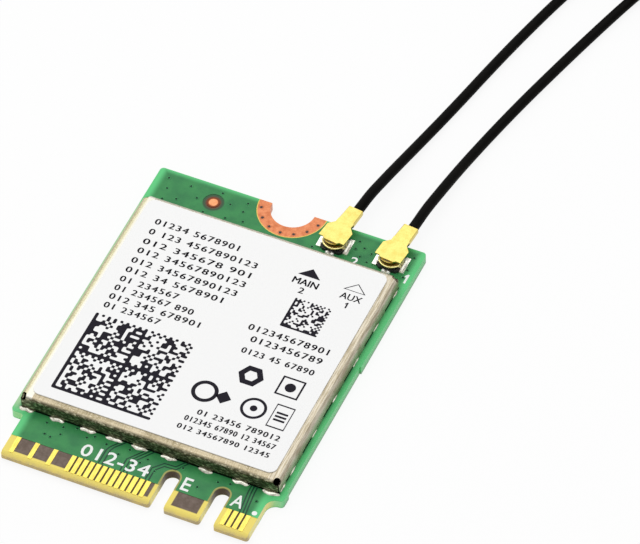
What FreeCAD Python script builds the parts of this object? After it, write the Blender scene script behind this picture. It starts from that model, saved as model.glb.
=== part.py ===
import FreeCAD, Part
import math
import os
import re

import Sketcher

# Wireless network card for a keyed edge socket, with two push-on antenna leads.
# Frame: origin at the middle of the board's underside, +X towards the first contact,
# +Y from the edge contacts to the screw notch, +Z up through the fitted side. Millimetres.

# Driving dimensions, each written once
SIZES = {
    # Circuit board
    "board_width": 22.0,
    "board_length": 30.0,
    "board_thickness": 0.8,
    "board_corner": 0.3,
    "shoulder_width": 1.075,
    "tongue_depth": 4.0,
    "tongue_corner": 0.2,
    "left_shoulder_root": 0.3,
    "right_shoulder_root": 0.8,
    "break_off_depth": 0.12,
    "break_off_inset": 1.0,
    "break_off_length": 12.9,
    "bevel_run": 0.35,
    "bevel_drop": 0.2,
    "notch_radius": 1.75,
    "key_slot_width": 1.2,
    "key_slot_depth": 3.5,
    "key_e_x": 2.625,
    "key_a_x": 6.625,
    # Copper on the board
    "copper_thickness": 0.035,
    "bare_edge_depth": 1.9,
    "contact_width": 0.35,
    "contact_pitch": 0.5,
    "contact_end_gap": 0.33,
    "plating_stub_width": 0.12,
    "plating_stub_length": 0.12,
    "first_top_contact": 9.25,
    "first_bottom_contact": 9.0,
    "land_radius": 2.8,
    "fiducial_side_inset": 5.12,
    "fiducial_back_inset": 1.7,
    "fiducial_radius": 0.5,
    "fiducial_clearing": 0.82,
    # Shield can, folded from one sheet
    "shield_side_margin": 0.55,
    "shield_front_margin": 4.5,
    "shield_back_margin": 3.9,
    "shield_height": 1.35,
    "sheet_thickness": 0.15,
    "bend_radius": 0.32,
    "wall_corner": 0.2,
    "foot_height": 0.2,
    "foot_length": 1.0,
    "side_foot_length": 2.15,
    "relief_radius": 0.31,
    "relief_inset": 0.26,
    "seam_gap": 0.06,
    "front_foot_inset": 0.7,
    "side_foot_inset": 3.4,
    "side_end_foot_inset": 0.75,
    "side_feet_shift": -0.3,
    "back_foot_inset": 0.65,
    "solder_width": 0.28,
    "solder_height": 0.26,
    "solder_overhang": 0.12,
    "solder_slope": 0.18,
    # Feet along the front wall between its end feet, left to right
    "front_foot_1": -7.39,
    "front_foot_2": -4.85,
    "front_foot_3": -2.74,
    "front_foot_4": -0.79,
    "front_foot_5": 1.62,
    "front_foot_6": 4.58,
    "front_foot_7": 7.38,
    # Label on the shield
    "label_side_inset": 0.62,
    "label_front_inset": 0.6,
    "label_back_inset": 0.4,
    "label_thickness": 0.08,
    "label_corner": 0.6,
    # Antenna ports: place of each, and the turn of its plug
    "port_back_inset": 1.85,
    "main_port_inset": 6.7,
    "aux_port_inset": 2.1,
    "main_lead_turn": -7.5,
    "aux_lead_turn": -6.0,
    # Port receptacle
    "base_width": 1.86,
    "base_height": 0.25,
    "base_chamfer": 0.25,
    "strap_width": 1.0,
    "strap_thickness": 0.08,
    "strap_eye": 0.4,
    "leg_thickness": 0.12,
    "tab_reach": 0.35,
    "tab_length": 1.55,
    "tab_thickness": 0.15,
    "ring_radius": 0.75,
    "ring_wall": 0.1,
    "ring_top": 0.8,
    "pin_radius": 0.15,
    "pin_top": 0.7,
    "pin_tip": 0.06,
    "tail_width": 0.4,
    "tail_thickness": 0.12,
    "tail_reach": 0.3,
    # Push-on plug
    "plug_height": 1.1,
    "plug_sheet": 0.12,
    "plate_half_width": 1.09,
    "plate_front": -0.57,
    "plate_back": 0.68,
    "neck_half_width": 0.66,
    "neck_start": 1.15,
    "barrel_start": 1.58,
    "crimp_inset": 0.1,
    "barrel_end": 3.0,
    "barrel_width": 1.22,
    "barrel_height": 0.95,
    "barrel_corner": 0.06,
    "barrel_side": 0.37,
    "barrel_foot": 0.6,
    "lead_drop": 0.5,
    "skirt_clearance": 0.04,
    "skirt_wall": 0.12,
    "skirt_lift": 0.1,
    "skirt_mouth": 0.56,
    "skirt_edge": 0.05,
    "cap_front": -0.72,
    "rim_drop": 0.14,
    "lip_height": 0.16,
    "waist_height": 0.22,
    "waist_depth": 0.06,
    "snap_slot": 0.14,
    "dielectric_gap": 0.05,
    "dielectric_drop": 0.3,
    "flange_gap": 0.05,
    "socket_gap": 0.02,
    "socket_wall": 0.12,
    "socket_drop": 0.42,
    "feed_width": 0.3,
    "feed_thickness": 0.1,
    # Antenna leads
    "lead_diameter": 0.81,
    "coil_radius": 4.15,
    "coil_section": 0.95,
    "tie_thickness": 0.12,
    "tie_sweep": 24.0,
    # Parts under the shield, in a typical layout
    "chip_width": 9.0,
    "chip_height": 0.85,
    "chip_x": -0.5,
    "chip_gap": 1.1,
    "front_end_width": 3.0,
    "front_end_height": 0.7,
    "front_end_offset": 0.8,
    "front_end_setback": 5.55,
    "regulator_width": 3.0,
    "regulator_height": 0.75,
    "regulator_setback": 0.6,
    "crystal_length": 2.5,
    "crystal_width": 2.0,
    "crystal_height": 0.55,
    "crystal_setback": 0.35,
    "inductor_length": 2.5,
    "inductor_width": 2.0,
    "inductor_height": 1.0,
    "inductor_setback": 1.6,
    "inductor_pitch": 2.5,
    "diplexer_length": 1.6,
    "diplexer_width": 0.8,
    "diplexer_height": 0.6,
    "diplexer_setback": 3.15,
    "capacitor_length": 1.0,
    "capacitor_width": 0.5,
    "capacitor_gap": 1.0,
    "capacitor_pitch": 1.6,
    "capacitor_setback": 0.65,
    "capacitor_row_x": -4.0,
    "capacitor_column_x": 5.6,
    "resistor_length": 0.6,
    "resistor_width": 0.3,
    "resistor_height": 0.25,
    "resistor_gap": 2.2,
    "resistor_pitch": 1.2,
    "resistor_row_x": 0.0,
    "resistor_column_x": 8.2,
    "left_column_x": -7.7,
    "right_column_y": -4.0,
    "package_edge": 0.08,
}

# Contacts as (places from the first contact, number in the run, step in places)
TOP_RUNS = [(0, 4, 1), (16, 13, 1), (31, 3, 3)]
BOTTOM_RUNS = [(0, 3, 1), (7, 4, 1), (15, 22, 1)]

# Routes of the leads from the crimp to the coil, chosen by hand along the table
MAIN_ROUTE = [
    (5.05, 20.9, 1.16),
    (5.47, 24.2, 0.66),
    (6.30, 27.8, 0.42),
    (7.40, 32.7, 0.42),
    (8.40, 37.7, 0.42),
    (9.65, 42.7, 0.42),
    (10.84, 46.7, 0.42),
    (11.58, 49.0, 0.42),
]
AUX_ROUTE = [
    (9.50, 20.7, 1.18),
    (9.78, 23.9, 0.70),
    (10.30, 27.9, 0.42),
    (11.25, 32.4, 0.42),
    (12.45, 36.8, 0.42),
    (14.55, 44.0, 0.42),
    (15.92, 48.4, 0.42),
    (16.92, 51.2, 0.42),
]
# Routes from the coil to the plug on the far end
MAIN_END_ROUTE = [(8.91, 54.25, 1.07), (6.5, 54.95, 0.75), (4.4, 55.4, 0.52), (2.0, 55.56, 0.52)]
AUX_END_ROUTE = [(22.26, 53.66, 1.07), (24.6, 52.85, 0.75), (26.7, 52.3, 0.52), (29.1, 51.98, 0.52)]
# Middles of the coils on the table
MAIN_COIL = (7.63, 50.3)
AUX_COIL = (20.81, 49.77)
# Side of the coil that its tie is on, in degrees
MAIN_TIE_SIDE = 180.0
AUX_TIE_SIDE = 250.0
# A lead's level run beyond the crimp, before it bends down
LEVEL_RUN = 1.6
# Share of the shorter run that an arc may take at each corner of a route
ARC_SHARE = 0.45

# Sides of the shield and places of the antenna ports, as sums of sizes
SHIELD_SIDE = "(board_width / 2 - shield_side_margin)"
SHIELD_FRONT = "(shield_front_margin - board_length / 2)"
SHIELD_BACK = "(board_length / 2 - shield_back_margin)"
SHIELD_MIDDLE = f"({SHIELD_FRONT} + {SHIELD_BACK}) / 2"
SHIELD_TOP = "board_thickness + shield_height"
MAIN_X = "(board_width / 2 - main_port_inset)"
AUX_X = "(board_width / 2 - aux_port_inset)"
PORT_Y = "(board_length / 2 - port_back_inset)"
FIDUCIAL_X = "fiducial_side_inset - board_width / 2"
FIDUCIAL_Y = "board_length / 2 - fiducial_back_inset"

# How far apart two places may be and count as the same
SAME_PLACE = 0.001
# How far a lead's volume may be from its section times its length, as a share
VOLUME_SHARE = 0.01

doc = FreeCAD.newDocument("wireless_card")
sheet = doc.addObject("Spreadsheet::Sheet", "sizes")
for row, (alias, number) in enumerate(SIZES.items(), start=1):
    sheet.set(f"A{row}", alias)
    sheet.set(f"B{row}", str(number))
    sheet.setAlias(f"B{row}", alias)
doc.recompute()

nodes = []
UP = FreeCAD.Vector(0, 0, 1)


def formula(text):
    """A sum of sizes, with each size's name pointed at its cell."""
    return re.sub(r"[a-z_][a-z_0-9]*", lambda m: f"sizes.{m[0]}" if m[0] in SIZES else m[0], str(text))


def value(text):
    """The number that a sum of sizes comes to."""
    return float(sheet.evalExpression(formula(text)))


def bind(item, **sums):
    """Tie properties to sums of sizes; a double underscore stands for a point."""
    for name, text in sums.items():
        item.setExpression(name.replace("__", "."), formula(text))
    return item


def place(item, x=0, y=0, z=0, turn=None):
    """Tie an object's placement to sums of sizes, with a turn about Z in degrees."""
    bind(item, Placement__Base__x=x, Placement__Base__y=y, Placement__Base__z=z)
    if turn is not None:
        item.Placement = FreeCAD.Placement(item.Placement.Base, FreeCAD.Rotation(UP, 1))
        bind(item, Placement__Rotation__Angle=turn)
    return item


def node(item, label):
    """Name a finished piece and keep it for the export."""
    item.Label = label
    nodes.append(item)
    return item


# Sketches and features inside a body


def new_body(name):
    return doc.addObject("PartDesign::Body", name + "_body")


def new_sketch(body, name, height=0, plane="XY_Plane"):
    """An empty sketch on one of the body's own origin planes, moved along its normal."""
    sketch = body.newObject("Sketcher::SketchObject", name)
    support = next(item for item in body.Origin.OriginFeatures if item.Role == plane)
    sketch.AttachmentSupport = [(support, "")]
    sketch.MapMode = "FlatFace"
    return bind(sketch, AttachmentOffset__Base__z=height)


def tie_point(sketch, geometry, end, x=None, y=None):
    """Hold a point of the sketch at sums of sizes along X and Y."""
    for kind, text in (("DistanceX", x), ("DistanceY", y)):
        if text is not None:
            held = Sketcher.Constraint(kind, -1, 1, geometry, end, value(text))
            index = sketch.addConstraint(held)
            sketch.setExpression(f"Constraints[{index}]", formula(text))


def draw_polygon(sketch, corners):
    """A closed outline through corners given as sums of sizes."""
    points = [FreeCAD.Vector(value(x), value(y), 0) for x, y in corners]
    following = points[1:] + points[:1]
    lines = [sketch.addGeometry(Part.LineSegment(a, b), False) for a, b in zip(points, following)]
    joined = zip(lines, lines[1:] + lines[:1])
    sketch.addConstraint([Sketcher.Constraint("Coincident", a, 2, b, 1) for a, b in joined])
    for line, (x, y) in zip(lines, corners):
        tie_point(sketch, line, 1, x, y)
    return sketch


def draw_box(sketch, left, right, low, high):
    """A rectangle between sums of sizes."""
    return draw_polygon(sketch, [(left, low), (right, low), (right, high), (left, high)])


def draw_circle(sketch, x, y, radius):
    """A circle whose middle and radius are sums of sizes."""
    middle = FreeCAD.Vector(value(x), value(y), 0)
    circle = sketch.addGeometry(Part.Circle(middle, UP, value(radius)), False)
    tie_point(sketch, circle, 3, x, y)
    index = sketch.addConstraint(Sketcher.Constraint("Radius", circle, value(radius)))
    sketch.setExpression(f"Constraints[{index}]", formula(radius))
    return sketch


def pad(body, sketch, length, back=False, midplane=False):
    """Material from a sketch, along its normal or back from it."""
    feature = body.newObject("PartDesign::Pad", sketch.Name + "_pad")
    feature.Profile = sketch
    feature.Reversed = back
    feature.Midplane = midplane
    return bind(feature, Length=length)


def pocket(body, sketch, depth, forward=False, midplane=False):
    """A cut from a sketch, against its normal or forward along it."""
    feature = body.newObject("PartDesign::Pocket", sketch.Name + "_cut")
    feature.Profile = sketch
    feature.Reversed = forward
    feature.Midplane = midplane
    return bind(feature, Length=depth)


def edges_where(feature, test):
    """Names of a feature's edges that pass a test."""
    doc.recompute()
    return [f"Edge{i}" for i, edge in enumerate(feature.Shape.Edges, start=1) if test(edge)]


def dress(body, kind, feature, test, **sums):
    """A fillet or chamfer on the edges of a feature that pass a test."""
    dressing = body.newObject(f"PartDesign::{kind}", f"{feature.Name}_{kind.lower()}")
    dressing.Base = (feature, edges_where(feature, test))
    return bind(dressing, **sums)


def upright_at(*places):
    """A test for upright edges that stand at any of the given sums of sizes."""
    wanted = [FreeCAD.Vector(value(x), value(y), 0) for x, y in places]

    def test(edge):
        middle = edge.CenterOfMass
        upright = edge.tangentAt(edge.FirstParameter).cross(UP).Length < SAME_PLACE
        return upright and any(math.hypot(middle.x - p.x, middle.y - p.y) < SAME_PLACE for p in wanted)

    return test


def lies_at(height):
    """A test for edges that lie flat at the height that a sum of sizes gives."""
    level = value(height)

    def test(edge):
        ends = (edge.BoundBox.ZMin, edge.BoundBox.ZMax)
        return all(abs(end - level) < SAME_PLACE for end in ends)

    return test


def repeat(body, feature, sketch, axis, pitch, count):
    """A row of copies of a feature."""
    row_of = body.newObject("PartDesign::LinearPattern", feature.Name + "_row")
    row_of.Originals = [feature]
    row_of.Direction = (sketch, [axis])
    row_of.Mode = "Spacing"
    row_of.Occurrences = count
    body.Tip = row_of
    return bind(row_of, Offset=pitch)


# Circuit board with its keyed tongue


def key_slot(body, name, x):
    """A round-ended slot cut up into the tongue from its front edge."""
    sketch = new_sketch(body, name)
    left = f"{x} - key_slot_width / 2"
    right = f"{x} + key_slot_width / 2"
    mouth = "-board_length / 2 - key_slot_width"
    root = "-board_length / 2 + key_slot_depth - key_slot_width / 2"
    low_left, high_left, high_right, low_right = [
        FreeCAD.Vector(value(a), value(b), 0)
        for a, b in ((left, mouth), (left, root), (right, root), (right, mouth))
    ]
    radius = value("key_slot_width / 2")
    middle = FreeCAD.Vector(value(x), value(root), 0)
    half = Part.ArcOfCircle(Part.Circle(middle, UP, radius), 0, math.pi)
    left_side = sketch.addGeometry(Part.LineSegment(low_left, high_left), False)
    end = sketch.addGeometry(half, False)
    right_side = sketch.addGeometry(Part.LineSegment(high_right, low_right), False)
    base = sketch.addGeometry(Part.LineSegment(low_right, low_left), False)
    sketch.addConstraint([
        Sketcher.Constraint("Coincident", left_side, 2, end, 2),
        Sketcher.Constraint("Coincident", end, 1, right_side, 1),
        Sketcher.Constraint("Coincident", right_side, 2, base, 1),
        Sketcher.Constraint("Coincident", base, 2, left_side, 1),
        Sketcher.Constraint("Vertical", left_side),
        Sketcher.Constraint("Vertical", right_side),
        Sketcher.Constraint("Horizontal", base),
    ])
    tie_point(sketch, left_side, 1, left, mouth)
    tie_point(sketch, left_side, 2, None, root)
    tie_point(sketch, end, 3, x, root)
    tie_point(sketch, right_side, 1, None, root)
    return pocket(body, sketch, "board_thickness", forward=True)


def circuit_board():
    body = new_body("board")
    side = "board_width / 2"
    front = "-board_length / 2"
    back = "board_length / 2"
    tongue = "(board_width / 2 - shoulder_width)"
    shoulder = "tongue_depth - board_length / 2"
    stepped = "board_width / 2 - break_off_depth"
    step_front = f"{shoulder} + break_off_inset"
    step_back = f"{step_front} + break_off_length"
    outline = draw_polygon(new_sketch(body, "board_outline"), [
        (f"-{tongue}", front), (tongue, front), (tongue, shoulder), (side, shoulder),
        (side, step_front), (stepped, step_front), (stepped, step_back), (side, step_back),
        (side, back), (f"-{side}", back), (f"-{side}", shoulder), (f"-{tongue}", shoulder),
    ])
    slab = pad(body, outline, "board_thickness")
    outer_corners = upright_at((side, back), (f"-{side}", back), (side, shoulder), (f"-{side}", shoulder))
    rounded = dress(body, "Fillet", slab, outer_corners, Radius="board_corner")
    left_corner = upright_at((f"-{tongue}", shoulder))
    left_root = dress(body, "Fillet", rounded, left_corner, Radius="left_shoulder_root")
    dress(body, "Fillet", left_root, upright_at((tongue, shoulder)), Radius="right_shoulder_root")
    key_slot(body, "key_e", "key_e_x")
    last_slot = key_slot(body, "key_a", "key_a_x")
    mouth_sides = [f"{key} {sign} key_slot_width / 2" for key in ("key_e_x", "key_a_x") for sign in "+-"]
    mouths = [(mouth_side, front) for mouth_side in mouth_sides]
    ends = [(tongue, front), (f"-{tongue}", front)]
    dress(body, "Fillet", last_slot, upright_at(*mouths, *ends), Radius="tongue_corner")
    notch = draw_circle(new_sketch(body, "screw_notch"), 0, back, "notch_radius")
    pocket(body, notch, "board_thickness", forward=True)
    # Solder mask stops short of the edge, round the lands and round the fiducial
    bare_top = "-board_length / 2 + bare_edge_depth"
    for name, height, upward in (("top", "board_thickness", False), ("bottom", 0, True)):
        bare = new_sketch(body, f"bare_edge_{name}", height)
        draw_box(bare, "-board_width / 2", side, "-board_length / 2 - bare_edge_depth", bare_top)
        pocket(body, bare, "copper_thickness", forward=upward)
        land = draw_circle(new_sketch(body, f"land_{name}", height), 0, back, "land_radius")
        pocket(body, land, "copper_thickness", forward=upward)
    clearing = new_sketch(body, "fiducial_clearing_circle", "board_thickness")
    draw_circle(clearing, FIDUCIAL_X, FIDUCIAL_Y, "fiducial_clearing")
    pocket(body, clearing, "copper_thickness")
    # Lead-in bevels on both faces of the front edge
    bevel_top = "board_thickness - copper_thickness"
    lead_in = "-board_length / 2 + bevel_run"
    for name, face, deep in (("top", bevel_top, f"{bevel_top} - bevel_drop"),
                             ("bottom", "copper_thickness", "copper_thickness + bevel_drop")):
        bevel = new_sketch(body, f"bevel_{name}", plane="YZ_Plane")
        draw_polygon(bevel, [(front, face), (lead_in, face), (front, deep)])
        pocket(body, bevel, "board_width", midplane=True)
    node(body, "circuit_board")


def contacts(label, runs, first, height):
    """Gold contacts on one face of the tongue, each with its plating stub."""
    body = new_body(label)
    half = "contact_width / 2"
    stub = "plating_stub_width / 2"
    far = "-board_length / 2 + bare_edge_depth"
    near = "-board_length / 2 + bevel_run + contact_end_gap - plating_stub_length"
    tip = "-board_length / 2 + bevel_run"
    for number, (skipped, count, step) in enumerate(runs):
        sketch = new_sketch(body, f"{label}_{number}", height)
        x = f"({first} - {skipped} * contact_pitch)"
        draw_polygon(sketch, [
            (f"{x} - {half}", far), (f"{x} - {half}", near),
            (f"{x} - {stub}", near), (f"{x} - {stub}", tip),
            (f"{x} + {stub}", tip), (f"{x} + {stub}", near),
            (f"{x} + {half}", near), (f"{x} + {half}", far),
        ])
        finger = pad(body, sketch, "copper_thickness")
        repeat(body, finger, sketch, "H_Axis", f"{step} * contact_pitch", count).Reversed = True
    node(body, label)


def screw_land(label, height):
    """Half ring of copper that the screw's head bears on."""
    outer = doc.addObject("Part::Cylinder", label + "_disc")
    bind(outer, Radius="land_radius", Height="copper_thickness").Angle = 180
    hole = doc.addObject("Part::Cylinder", label + "_hole")
    bind(hole, Radius="notch_radius", Height="copper_thickness")
    ring = doc.addObject("Part::Cut", label + "_ring")
    ring.Base = outer
    ring.Tool = hole
    node(place(ring, 0, "board_length / 2", height, turn=180), label)


def fiducial():
    dot = doc.addObject("Part::Cylinder", "fiducial_dot")
    bind(dot, Radius="fiducial_radius", Height="copper_thickness")
    node(place(dot, FIDUCIAL_X, FIDUCIAL_Y, "board_thickness - copper_thickness"), "fiducial_dot")


# Shield can and what holds it

# Feet on each side of the middle one, in the rows along the back and the sides
BACK_FEET_EACH_WAY = 4
SIDE_FEET_EACH_WAY = 2


def foot_rows():
    """Rows of feet: name, places, foot length, the wall's outer face, outward sign, along X or not."""
    front_feet = [f"front_foot_{number}" for number in range(1, 8)]
    front_feet += [f"{SHIELD_SIDE} - front_foot_inset", f"front_foot_inset - {SHIELD_SIDE}"]
    back_pitch = f"({SHIELD_SIDE} - back_foot_inset) / {BACK_FEET_EACH_WAY}"
    back_steps = range(-BACK_FEET_EACH_WAY, BACK_FEET_EACH_WAY + 1)
    back_feet = [f"{step} * {back_pitch}" for step in back_steps]
    side_pitch = f"(({SHIELD_BACK} - {SHIELD_FRONT}) / 2 - side_foot_inset) / {SIDE_FEET_EACH_WAY}"
    side_steps = range(-SIDE_FEET_EACH_WAY, SIDE_FEET_EACH_WAY + 1)
    side_feet = [f"{SHIELD_MIDDLE} + side_feet_shift + {step} * {side_pitch}" for step in side_steps]
    end_feet = [f"{SHIELD_FRONT} + side_end_foot_inset", f"{SHIELD_BACK} - side_end_foot_inset"]
    return [
        ("front", front_feet, "foot_length", SHIELD_FRONT, "-1", True),
        ("back", back_feet, "foot_length", SHIELD_BACK, "1", True),
        ("left", side_feet, "side_foot_length", f"-{SHIELD_SIDE}", "-1", False),
        ("left_end", end_feet, "foot_length", f"-{SHIELD_SIDE}", "-1", False),
        ("right", side_feet, "side_foot_length", SHIELD_SIDE, "1", False),
        ("right_end", end_feet, "foot_length", SHIELD_SIDE, "1", False),
    ]


def draw_feet(sketch, places, half_length, face, inner, outer, along_x):
    """Rectangles beside a wall's outer face, one at each foot."""
    for middle in places:
        start = f"{middle} - ({half_length})"
        end = f"{middle} + {half_length}"
        low = f"{face} + ({inner})"
        high = f"{face} + ({outer})"
        if along_x:
            draw_box(sketch, start, end, low, high)
        else:
            draw_box(sketch, low, high, start, end)
    return sketch


def shield_can():
    """Lid and four walls bent from one sheet, with open seams and a relief hole at each corner."""
    body = new_body("shield")
    wall_foot = "board_thickness + foot_height"
    block = new_sketch(body, "shield_outline", wall_foot)
    draw_box(block, f"-{SHIELD_SIDE}", SHIELD_SIDE, SHIELD_FRONT, SHIELD_BACK)
    solid = pad(body, block, "shield_height - foot_height")
    corners = [(x, y) for x in (f"-{SHIELD_SIDE}", SHIELD_SIDE) for y in (SHIELD_FRONT, SHIELD_BACK)]
    rounded = dress(body, "Fillet", solid, upright_at(*corners), Radius="wall_corner")
    bent = dress(body, "Fillet", rounded, lies_at(SHIELD_TOP), Radius="bend_radius")
    doc.recompute()
    open_face = min(range(len(bent.Shape.Faces)), key=lambda i: bent.Shape.Faces[i].CenterOfMass.z) + 1
    shell = body.newObject("PartDesign::Thickness", "shield_sheet")
    shell.Base = (bent, [f"Face{open_face}"])
    shell.Reversed = True
    bind(shell, Value="sheet_thickness")
    for name, places, length, face, sign, along_x in foot_rows():
        feet = new_sketch(body, f"feet_{name}", "board_thickness")
        draw_feet(feet, places, f"{length} / 2", face, f"-({sign}) * sheet_thickness", 0, along_x)
        pad(body, feet, "foot_height")
    for index, (x, y) in enumerate(corners):
        sign_x = "-1" if x.startswith("-") else "1"
        sign_y = "-1" if y == SHIELD_FRONT else "1"
        relief = body.newObject("PartDesign::SubtractiveSphere", f"relief_{index}")
        bind(relief, Radius="relief_radius")
        place(relief, f"{x} - ({sign_x}) * relief_inset", f"{y} - ({sign_y}) * relief_inset",
              f"{SHIELD_TOP} - relief_inset")
        seam = new_sketch(body, f"seam_{index}", wall_foot)
        across = "seam_gap / 2"
        reach = "wall_corner + sheet_thickness"
        draw_polygon(seam, [
            (f"{x} + {across}", f"{y} - ({sign_x}) * ({sign_y}) * {across}"),
            (f"{x} - {across}", f"{y} + ({sign_x}) * ({sign_y}) * {across}"),
            (f"{x} - {across} - ({sign_x}) * ({reach})",
             f"{y} + ({sign_x}) * ({sign_y}) * {across} - ({sign_y}) * ({reach})"),
            (f"{x} + {across} - ({sign_x}) * ({reach})",
             f"{y} - ({sign_x}) * ({sign_y}) * {across} - ({sign_y}) * ({reach})"),
        ])
        pocket(body, seam, "shield_height - foot_height - relief_inset", forward=True)
    node(body, "shield_can")


def shield_solder():
    """Solder fillets along the outside of the shield's feet."""
    body = new_body("shield_solder")
    for name, places, length, face, sign, along_x in foot_rows():
        sketch = new_sketch(body, f"solder_{name}", "board_thickness")
        half_length = f"({length} + solder_overhang) / 2"
        draw_feet(sketch, places, half_length, face, 0, f"({sign}) * solder_width", along_x)
        bead = pad(body, sketch, "solder_height")
        outer = value(f"{face} + ({sign}) * solder_width")
        high = value("board_thickness + solder_height")

        def sloped(edge, outer=outer, high=high, along_x=along_x):
            middle = edge.CenterOfMass
            across = middle.y if along_x else middle.x
            return abs(middle.z - high) < SAME_PLACE and abs(across - outer) < SAME_PLACE

        dress(body, "Chamfer", bead, sloped, Size="solder_slope")
    node(body, "shield_solder_joints")


def label():
    body = new_body("label")
    sketch = new_sketch(body, "label_outline", SHIELD_TOP)
    side = f"({SHIELD_SIDE} - label_side_inset)"
    low = f"({SHIELD_FRONT} + label_front_inset)"
    high = f"({SHIELD_BACK} - label_back_inset)"
    draw_box(sketch, f"-{side}", side, low, high)
    paper = pad(body, sketch, "label_thickness")
    corners = [(x, y) for x in (f"-{side}", side) for y in (low, high)]
    dress(body, "Fillet", paper, upright_at(*corners), Radius="label_corner")
    node(body, "label")


# Parts soldered to the board under the shield


def package(label, length, width, height, middle):
    """A moulded package with broken top edges."""
    body = new_body(label)
    sketch = new_sketch(body, label + "_outline")
    draw_box(sketch, f"-{length} / 2", f"{length} / 2", f"-{width} / 2", f"{width} / 2")
    block = pad(body, sketch, height)
    dress(body, "Chamfer", block, lies_at(height), Size="package_edge")
    node(place(body, *middle, "board_thickness"), label)


def chips(label, length, width, height, rows):
    """A group of like parts in rows: first x and y, steps along x and y, number, turned or not."""
    blocks = []
    for first_x, first_y, step_x, step_y, count, turned in rows:
        along, across = (width, length) if turned else (length, width)
        for index in range(count):
            block = doc.addObject("Part::Box", f"{label}_{len(blocks)}")
            bind(block, Length=along, Width=across, Height=height)
            x = f"{first_x} + {index} * ({step_x}) - {along} / 2"
            y = f"{first_y} + {index} * ({step_y}) - {across} / 2"
            blocks.append(place(block, x, y, "board_thickness"))
    group = doc.addObject("Part::Compound", label + "_group")
    group.Links = blocks
    node(group, label)


def parts_under_shield():
    """Front end modules behind the ports, the chip in front of them, and the supply down the left side."""
    for name, port_x in (("main", MAIN_X), ("aux", AUX_X)):
        label = f"{name}_front_end_module"
        middle = (f"{port_x} - front_end_offset", f"{PORT_Y} - front_end_setback")
        package(label, "front_end_width", "front_end_width", "front_end_height", middle)
    chip_back = f"{PORT_Y} - front_end_setback - front_end_width / 2 - chip_gap"
    chip_front = f"{chip_back} - chip_width"
    chip_middle = ("chip_x", f"{chip_back} - chip_width / 2")
    package("wireless_chip", "chip_width", "chip_width", "chip_height", chip_middle)
    # The supply's column, where each setback is the clear space behind the part in front
    left = "left_column_x"
    first_inductor = f"{SHIELD_FRONT} + inductor_setback"
    inductors_end = f"{first_inductor} + inductor_pitch + inductor_width / 2"
    regulator_y = f"{inductors_end} + regulator_setback + regulator_width / 2"
    first_capacitor = f"{regulator_y} + regulator_width / 2 + capacitor_setback + capacitor_width / 2"
    capacitors_end = f"{first_capacitor} + 2 * capacitor_pitch + capacitor_width / 2"
    regulator_middle = (left, regulator_y)
    package("power_regulator", "regulator_width", "regulator_width", "regulator_height", regulator_middle)
    crystal_middle = (left, f"{capacitors_end} + crystal_setback + crystal_width / 2")
    package("crystal", "crystal_length", "crystal_width", "crystal_height", crystal_middle)
    chips("power_inductors", "inductor_length", "inductor_width", "inductor_height", [
        (left, first_inductor, 0, "inductor_pitch", 2, False),
    ])
    chips("diplexers", "diplexer_length", "diplexer_width", "diplexer_height", [
        (MAIN_X, f"{PORT_Y} - diplexer_setback", f"{AUX_X} - {MAIN_X}", 0, 2, False),
    ])
    chips("capacitors", "capacitor_length", "capacitor_width", "capacitor_width", [
        ("capacitor_row_x", f"{chip_front} - capacitor_gap", "capacitor_pitch", 0, 5, True),
        ("capacitor_column_x", "right_column_y", 0, "capacitor_pitch", 5, False),
        (left, first_capacitor, 0, "capacitor_pitch", 3, False),
    ])
    chips("resistors", "resistor_length", "resistor_width", "resistor_height", [
        ("resistor_row_x", f"{chip_front} - resistor_gap", "resistor_pitch", 0, 5, True),
        ("resistor_column_x", "right_column_y", 0, "resistor_pitch", 4, False),
    ])


# Antenna port receptacles, drawn about the port's axis with the board's face at zero

BASE_HALF = "base_width / 2"
STRAP_TOP = "base_height + strap_thickness"


def receptacle_base(label, x):
    body = new_body(label)
    outline = new_sketch(body, label + "_outline")
    draw_box(outline, f"-{BASE_HALF}", BASE_HALF, f"-{BASE_HALF}", BASE_HALF)
    block = pad(body, outline, "base_height")
    corners = [(a, b) for a in (f"-{BASE_HALF}", BASE_HALF) for b in (f"-{BASE_HALF}", BASE_HALF)]
    dress(body, "Chamfer", block, upright_at(*corners), Size="base_chamfer")
    channel = new_sketch(body, label + "_channel")
    draw_box(channel, "-tail_width / 2", "tail_width / 2", f"-{BASE_HALF}", "tail_width / 2")
    pocket(body, channel, "tail_thickness", forward=True)
    hole = draw_circle(new_sketch(body, label + "_hole"), 0, 0, "pin_radius")
    pocket(body, hole, "base_height", forward=True)
    node(place(body, x, PORT_Y, "board_thickness"), label)


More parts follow.
